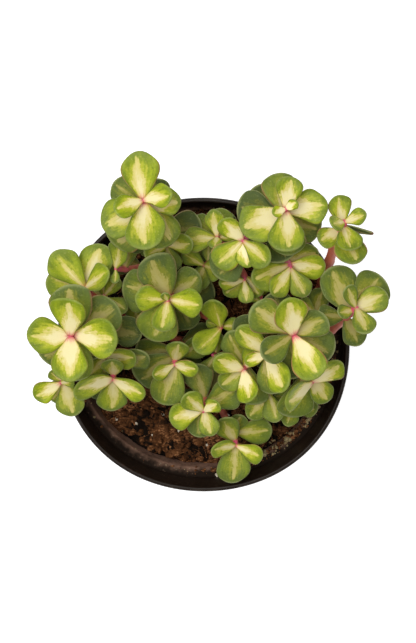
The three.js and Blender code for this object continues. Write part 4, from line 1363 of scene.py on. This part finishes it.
def blank_pad():
    """A closed grid two faces thick. Across runs from -1 to 1, along from 0 to 1, and up is -1 or 1."""
    shape = bmesh.new()
    flat = shape.loops.layers.uv.new("pad")
    bmesh.ops.create_grid(shape, x_segments=PAD_COLUMNS, y_segments=PAD_ROWS, size=1)
    for vertex in shape.verts:
        vertex.co = (vertex.co.x, (vertex.co.y + 1) / 2, -1)
    made = bmesh.ops.extrude_face_region(shape, geom=shape.faces[:])["geom"]
    upper = [v for v in made if isinstance(v, bmesh.types.BMVert)]
    bmesh.ops.translate(shape, vec=(0, 0, 2), verts=upper)
    bmesh.ops.recalc_face_normals(shape, faces=shape.faces)
    for face in shape.faces:
        for loop in face.loops:
            loop[flat].uv = ((loop.vert.co.x + 1) / 2, loop.vert.co.y)
    mesh = bpy.data.meshes.new("blank_pad")
    shape.to_mesh(mesh)
    shape.free()
    return mesh


def pad_point(leaf, across, along, up):
    """Where a point of the blank pad goes on a grown leaf."""
    shoulder = math.sin(math.pi * (SHOULDER[0] + SHOULDER[1] * along**leaf.wedge))
    half_width = leaf.breadth * OVERSIZE * (FOOT_SHARE + (0.5 - FOOT_SHARE) * shoulder)
    half_width *= 1 + leaf.wave * math.sin(WAVE_COUNT * along + leaf.phase + across)
    out = half_width * across + leaf.skew * leaf.breadth * along**2
    drawn_in = leaf.tip_rounding * abs(across) ** CORNER_DRAW * along**2
    forward = leaf.length * OVERSIZE * along * (1 - drawn_in)
    half_thickness = leaf.thickness / 2 * (1 - EDGE_THINNING * across**2) * (1 - END_THINNING * along**3)
    rise = leaf.cup * leaf.breadth * (2 * out / leaf.breadth) ** 2 + leaf.curl * leaf.length * along**2
    if up > 0:
        fading = math.sin(math.pi * min(1, along * GROOVE_END))
        rise -= GROOVE * leaf.thickness * (1 - abs(across)) ** 2 * fading
    turn = leaf.twist * along
    out, rise = out * math.cos(turn) - rise * math.sin(turn), out * math.sin(turn) + rise * math.cos(turn)
    place = leaf.base + leaf.direction * forward + leaf.across * out
    return Vector(place + leaf.normal * (rise + up * half_thickness))


def withered_leaf(shoot):
    """A dry leaf that still hangs on below the top, turned on its edge. The pad's foot is its pointed tip."""
    joint = back_from_top(shoot.route, WITHERED_DROP)[0]
    base = shoot.node + np.array(WITHERED_TIP)
    reach = joint - base
    length = np.linalg.norm(reach)
    direction = reach / length
    level = np.cross((0, 0, 1), direction)
    level = level / np.linalg.norm(level)
    normal = math.cos(WITHERED_TURN) * np.cross(direction, level) + math.sin(WITHERED_TURN) * level
    return Grown(
        # Its drop is set so that it takes the full painted shade of low leaves.
        shoot=shoot, pair=WITHERED_PAIR, drop=FULL_SHADE_DROP, order=len(shoot.tips), base=base,
        direction=direction, normal=normal, across=np.cross(normal, direction), length=length,
        breadth=length * WITHERED_RATIO,
    )


def vary_form(leaf, draw):
    """Gives a leaf the small differences that no two pads share."""
    leaf.thickness = LEAF_THICKNESS * min(GROWN_THICKNESS, SMALL_THICKNESS + THICKNESS_PER_MM * leaf.length)
    leaf.wave = draw.uniform(*WAVES)
    leaf.phase = draw.uniform(0, math.tau)
    leaf.skew = draw.uniform(*SKEWS)
    leaf.tip_rounding = TIP_ROUNDING * draw.uniform(*TIP_ROUNDINGS)
    leaf.wedge = draw.uniform(*WEDGES)
    leaf.cup = PAD_CUP * draw.uniform(LEAST_CUP, YOUNG_CUP - CUP_LOST_PER_PAIR * min(2, leaf.pair))
    leaf.curl = draw.uniform(*CURLS)
    leaf.twist = draw.uniform(*TWISTS)


def leaf_facts(leaf, draw):
    """What the finish reads of a leaf, one number for each of its facts."""
    pink = leaf.shoot.pink
    age = min(1, max(0, (leaf.pair + FIRST_AGE) / PAIRS_TO_AGE + draw.uniform(-AGE_CHANCE, AGE_CHANCE)))
    flame = (YOUNG_FLAME - FLAME_LOST * age) * draw.uniform(*FLAMES)
    if leaf.order < len(leaf.shoot.flames):
        age = int(leaf.shoot.ages[leaf.order]) / FULL_AGE
        flame = int(leaf.shoot.flames[leaf.order]) / FULL_FLAME
    return {
        "leaf_age": age,
        "leaf_draw": draw.uniform(*OWN_PLACES),
        "leaf_flame": flame,
        "leaf_shift": draw.uniform(*FLAME_SHIFTS),
        "leaf_blush": max(LEAST_BLUSH, 1 - BLUSH_LOST * age) * pink,
        "leaf_rim": draw.random() ** RIM_RARITY * (1 - RIM_LOST * age) * pink,
        # Painted shade: the further a leaf grows below its shoot's top, the darker it is painted.
        "leaf_painted_shade": min(1, (leaf.drop / FULL_SHADE_DROP) ** 2),
    }


def shaped_leaves(leaves, pad, draw):
    """Bends one copy of the blank pad to each leaf, and lays the leaf's facts down on it."""
    shape = bmesh.new()
    layers = {}
    for fact in LEAF_FACTS:
        layers[fact] = shape.verts.layers.float.new(fact)
    for leaf in leaves:
        vary_form(leaf, draw)
        facts = leaf_facts(leaf, draw)
        first = len(shape.verts)
        shape.from_mesh(pad)
        shape.verts.ensure_lookup_table()
        for vertex in shape.verts[first:]:
            vertex.co = pad_point(leaf, *vertex.co)
            for fact, value in facts.items():
                vertex[layers[fact]] = value
    return shape


leaf_skin = variegated_leaf()
blank = blank_pad()
leaf_draw = random.Random(LEAF_SEED)
for number, node in enumerate(stem_nodes, start=1):
    leaves = [leaf for shoot in bush if shoot.stem == number for leaf in shoot.leaves]
    shape = shaped_leaves(leaves, blank, leaf_draw)
    finish_piece(node + "_leaves", shape, leaf_skin, [node], rounds=1)
withering = next(shoot for shoot in bush if shoot.name == WITHERED_SHOOT)
dry_leaf = shaped_leaves([withered_leaf(withering)], blank, leaf_draw)
finish_piece("withered_leaf", dry_leaf, leaf_skin, rounds=1)
bpy.data.meshes.remove(blank)

# Studio. A wide white floor and soft white light from all round, with one large soft lamp above and to the
# left, as a product is photographed. The lamp's size and place are in metres.
FLOOR_SIZE = 6000
FLOOR_DROP = 0.1
LAMP_SIZE = 1.0
LAMP_PLACE = (-0.3, 0.25, 1.3)
LAMP_POWER = 17.4
SKY_STRENGTH = 0.23
FLOOR_GREY = (0.6, 0.6, 0.6, 1)
FLOOR_GLOW = 0.8
WHITE = (1, 1, 1, 1)

floor_shape = bmesh.new()
bmesh.ops.create_grid(floor_shape, x_segments=1, y_segments=1, size=FLOOR_SIZE / 2 * MM)
floor_mesh = bpy.data.meshes.new("studio_floor")
floor_shape.to_mesh(floor_mesh)
floor_shape.free()
floor_paint = Finish("white_floor", {"Base Color": FLOOR_GREY, "Roughness": 0.9})
floor_paint.surface.inputs["Emission Color"].default_value = WHITE
floor_paint.surface.inputs["Emission Strength"].default_value = FLOOR_GLOW
floor_mesh.materials.append(floor_paint.material)
floor = bpy.data.objects.new("studio_floor", floor_mesh)
floor.location.z = -FLOOR_DROP * MM
bpy.context.scene.collection.objects.link(floor)

lamp_data = bpy.data.lights.new("soft_lamp", "AREA")
lamp_data.size = LAMP_SIZE
lamp_data.energy = LAMP_POWER
lamp = bpy.data.objects.new("soft_lamp", lamp_data)
lamp.location = LAMP_PLACE
lamp.rotation_euler = (rim_centre * MM - lamp.location).to_track_quat("-Z", "Y").to_euler()
bpy.context.scene.collection.objects.link(lamp)

world = bpy.data.worlds.new("studio")
world.use_nodes = True
sky = world.node_tree.nodes["Background"]
sky.inputs["Color"].default_value = WHITE
sky.inputs["Strength"].default_value = SKY_STRENGTH
bpy.context.scene.world = world
bpy.context.scene.view_settings.view_transform = "Standard"
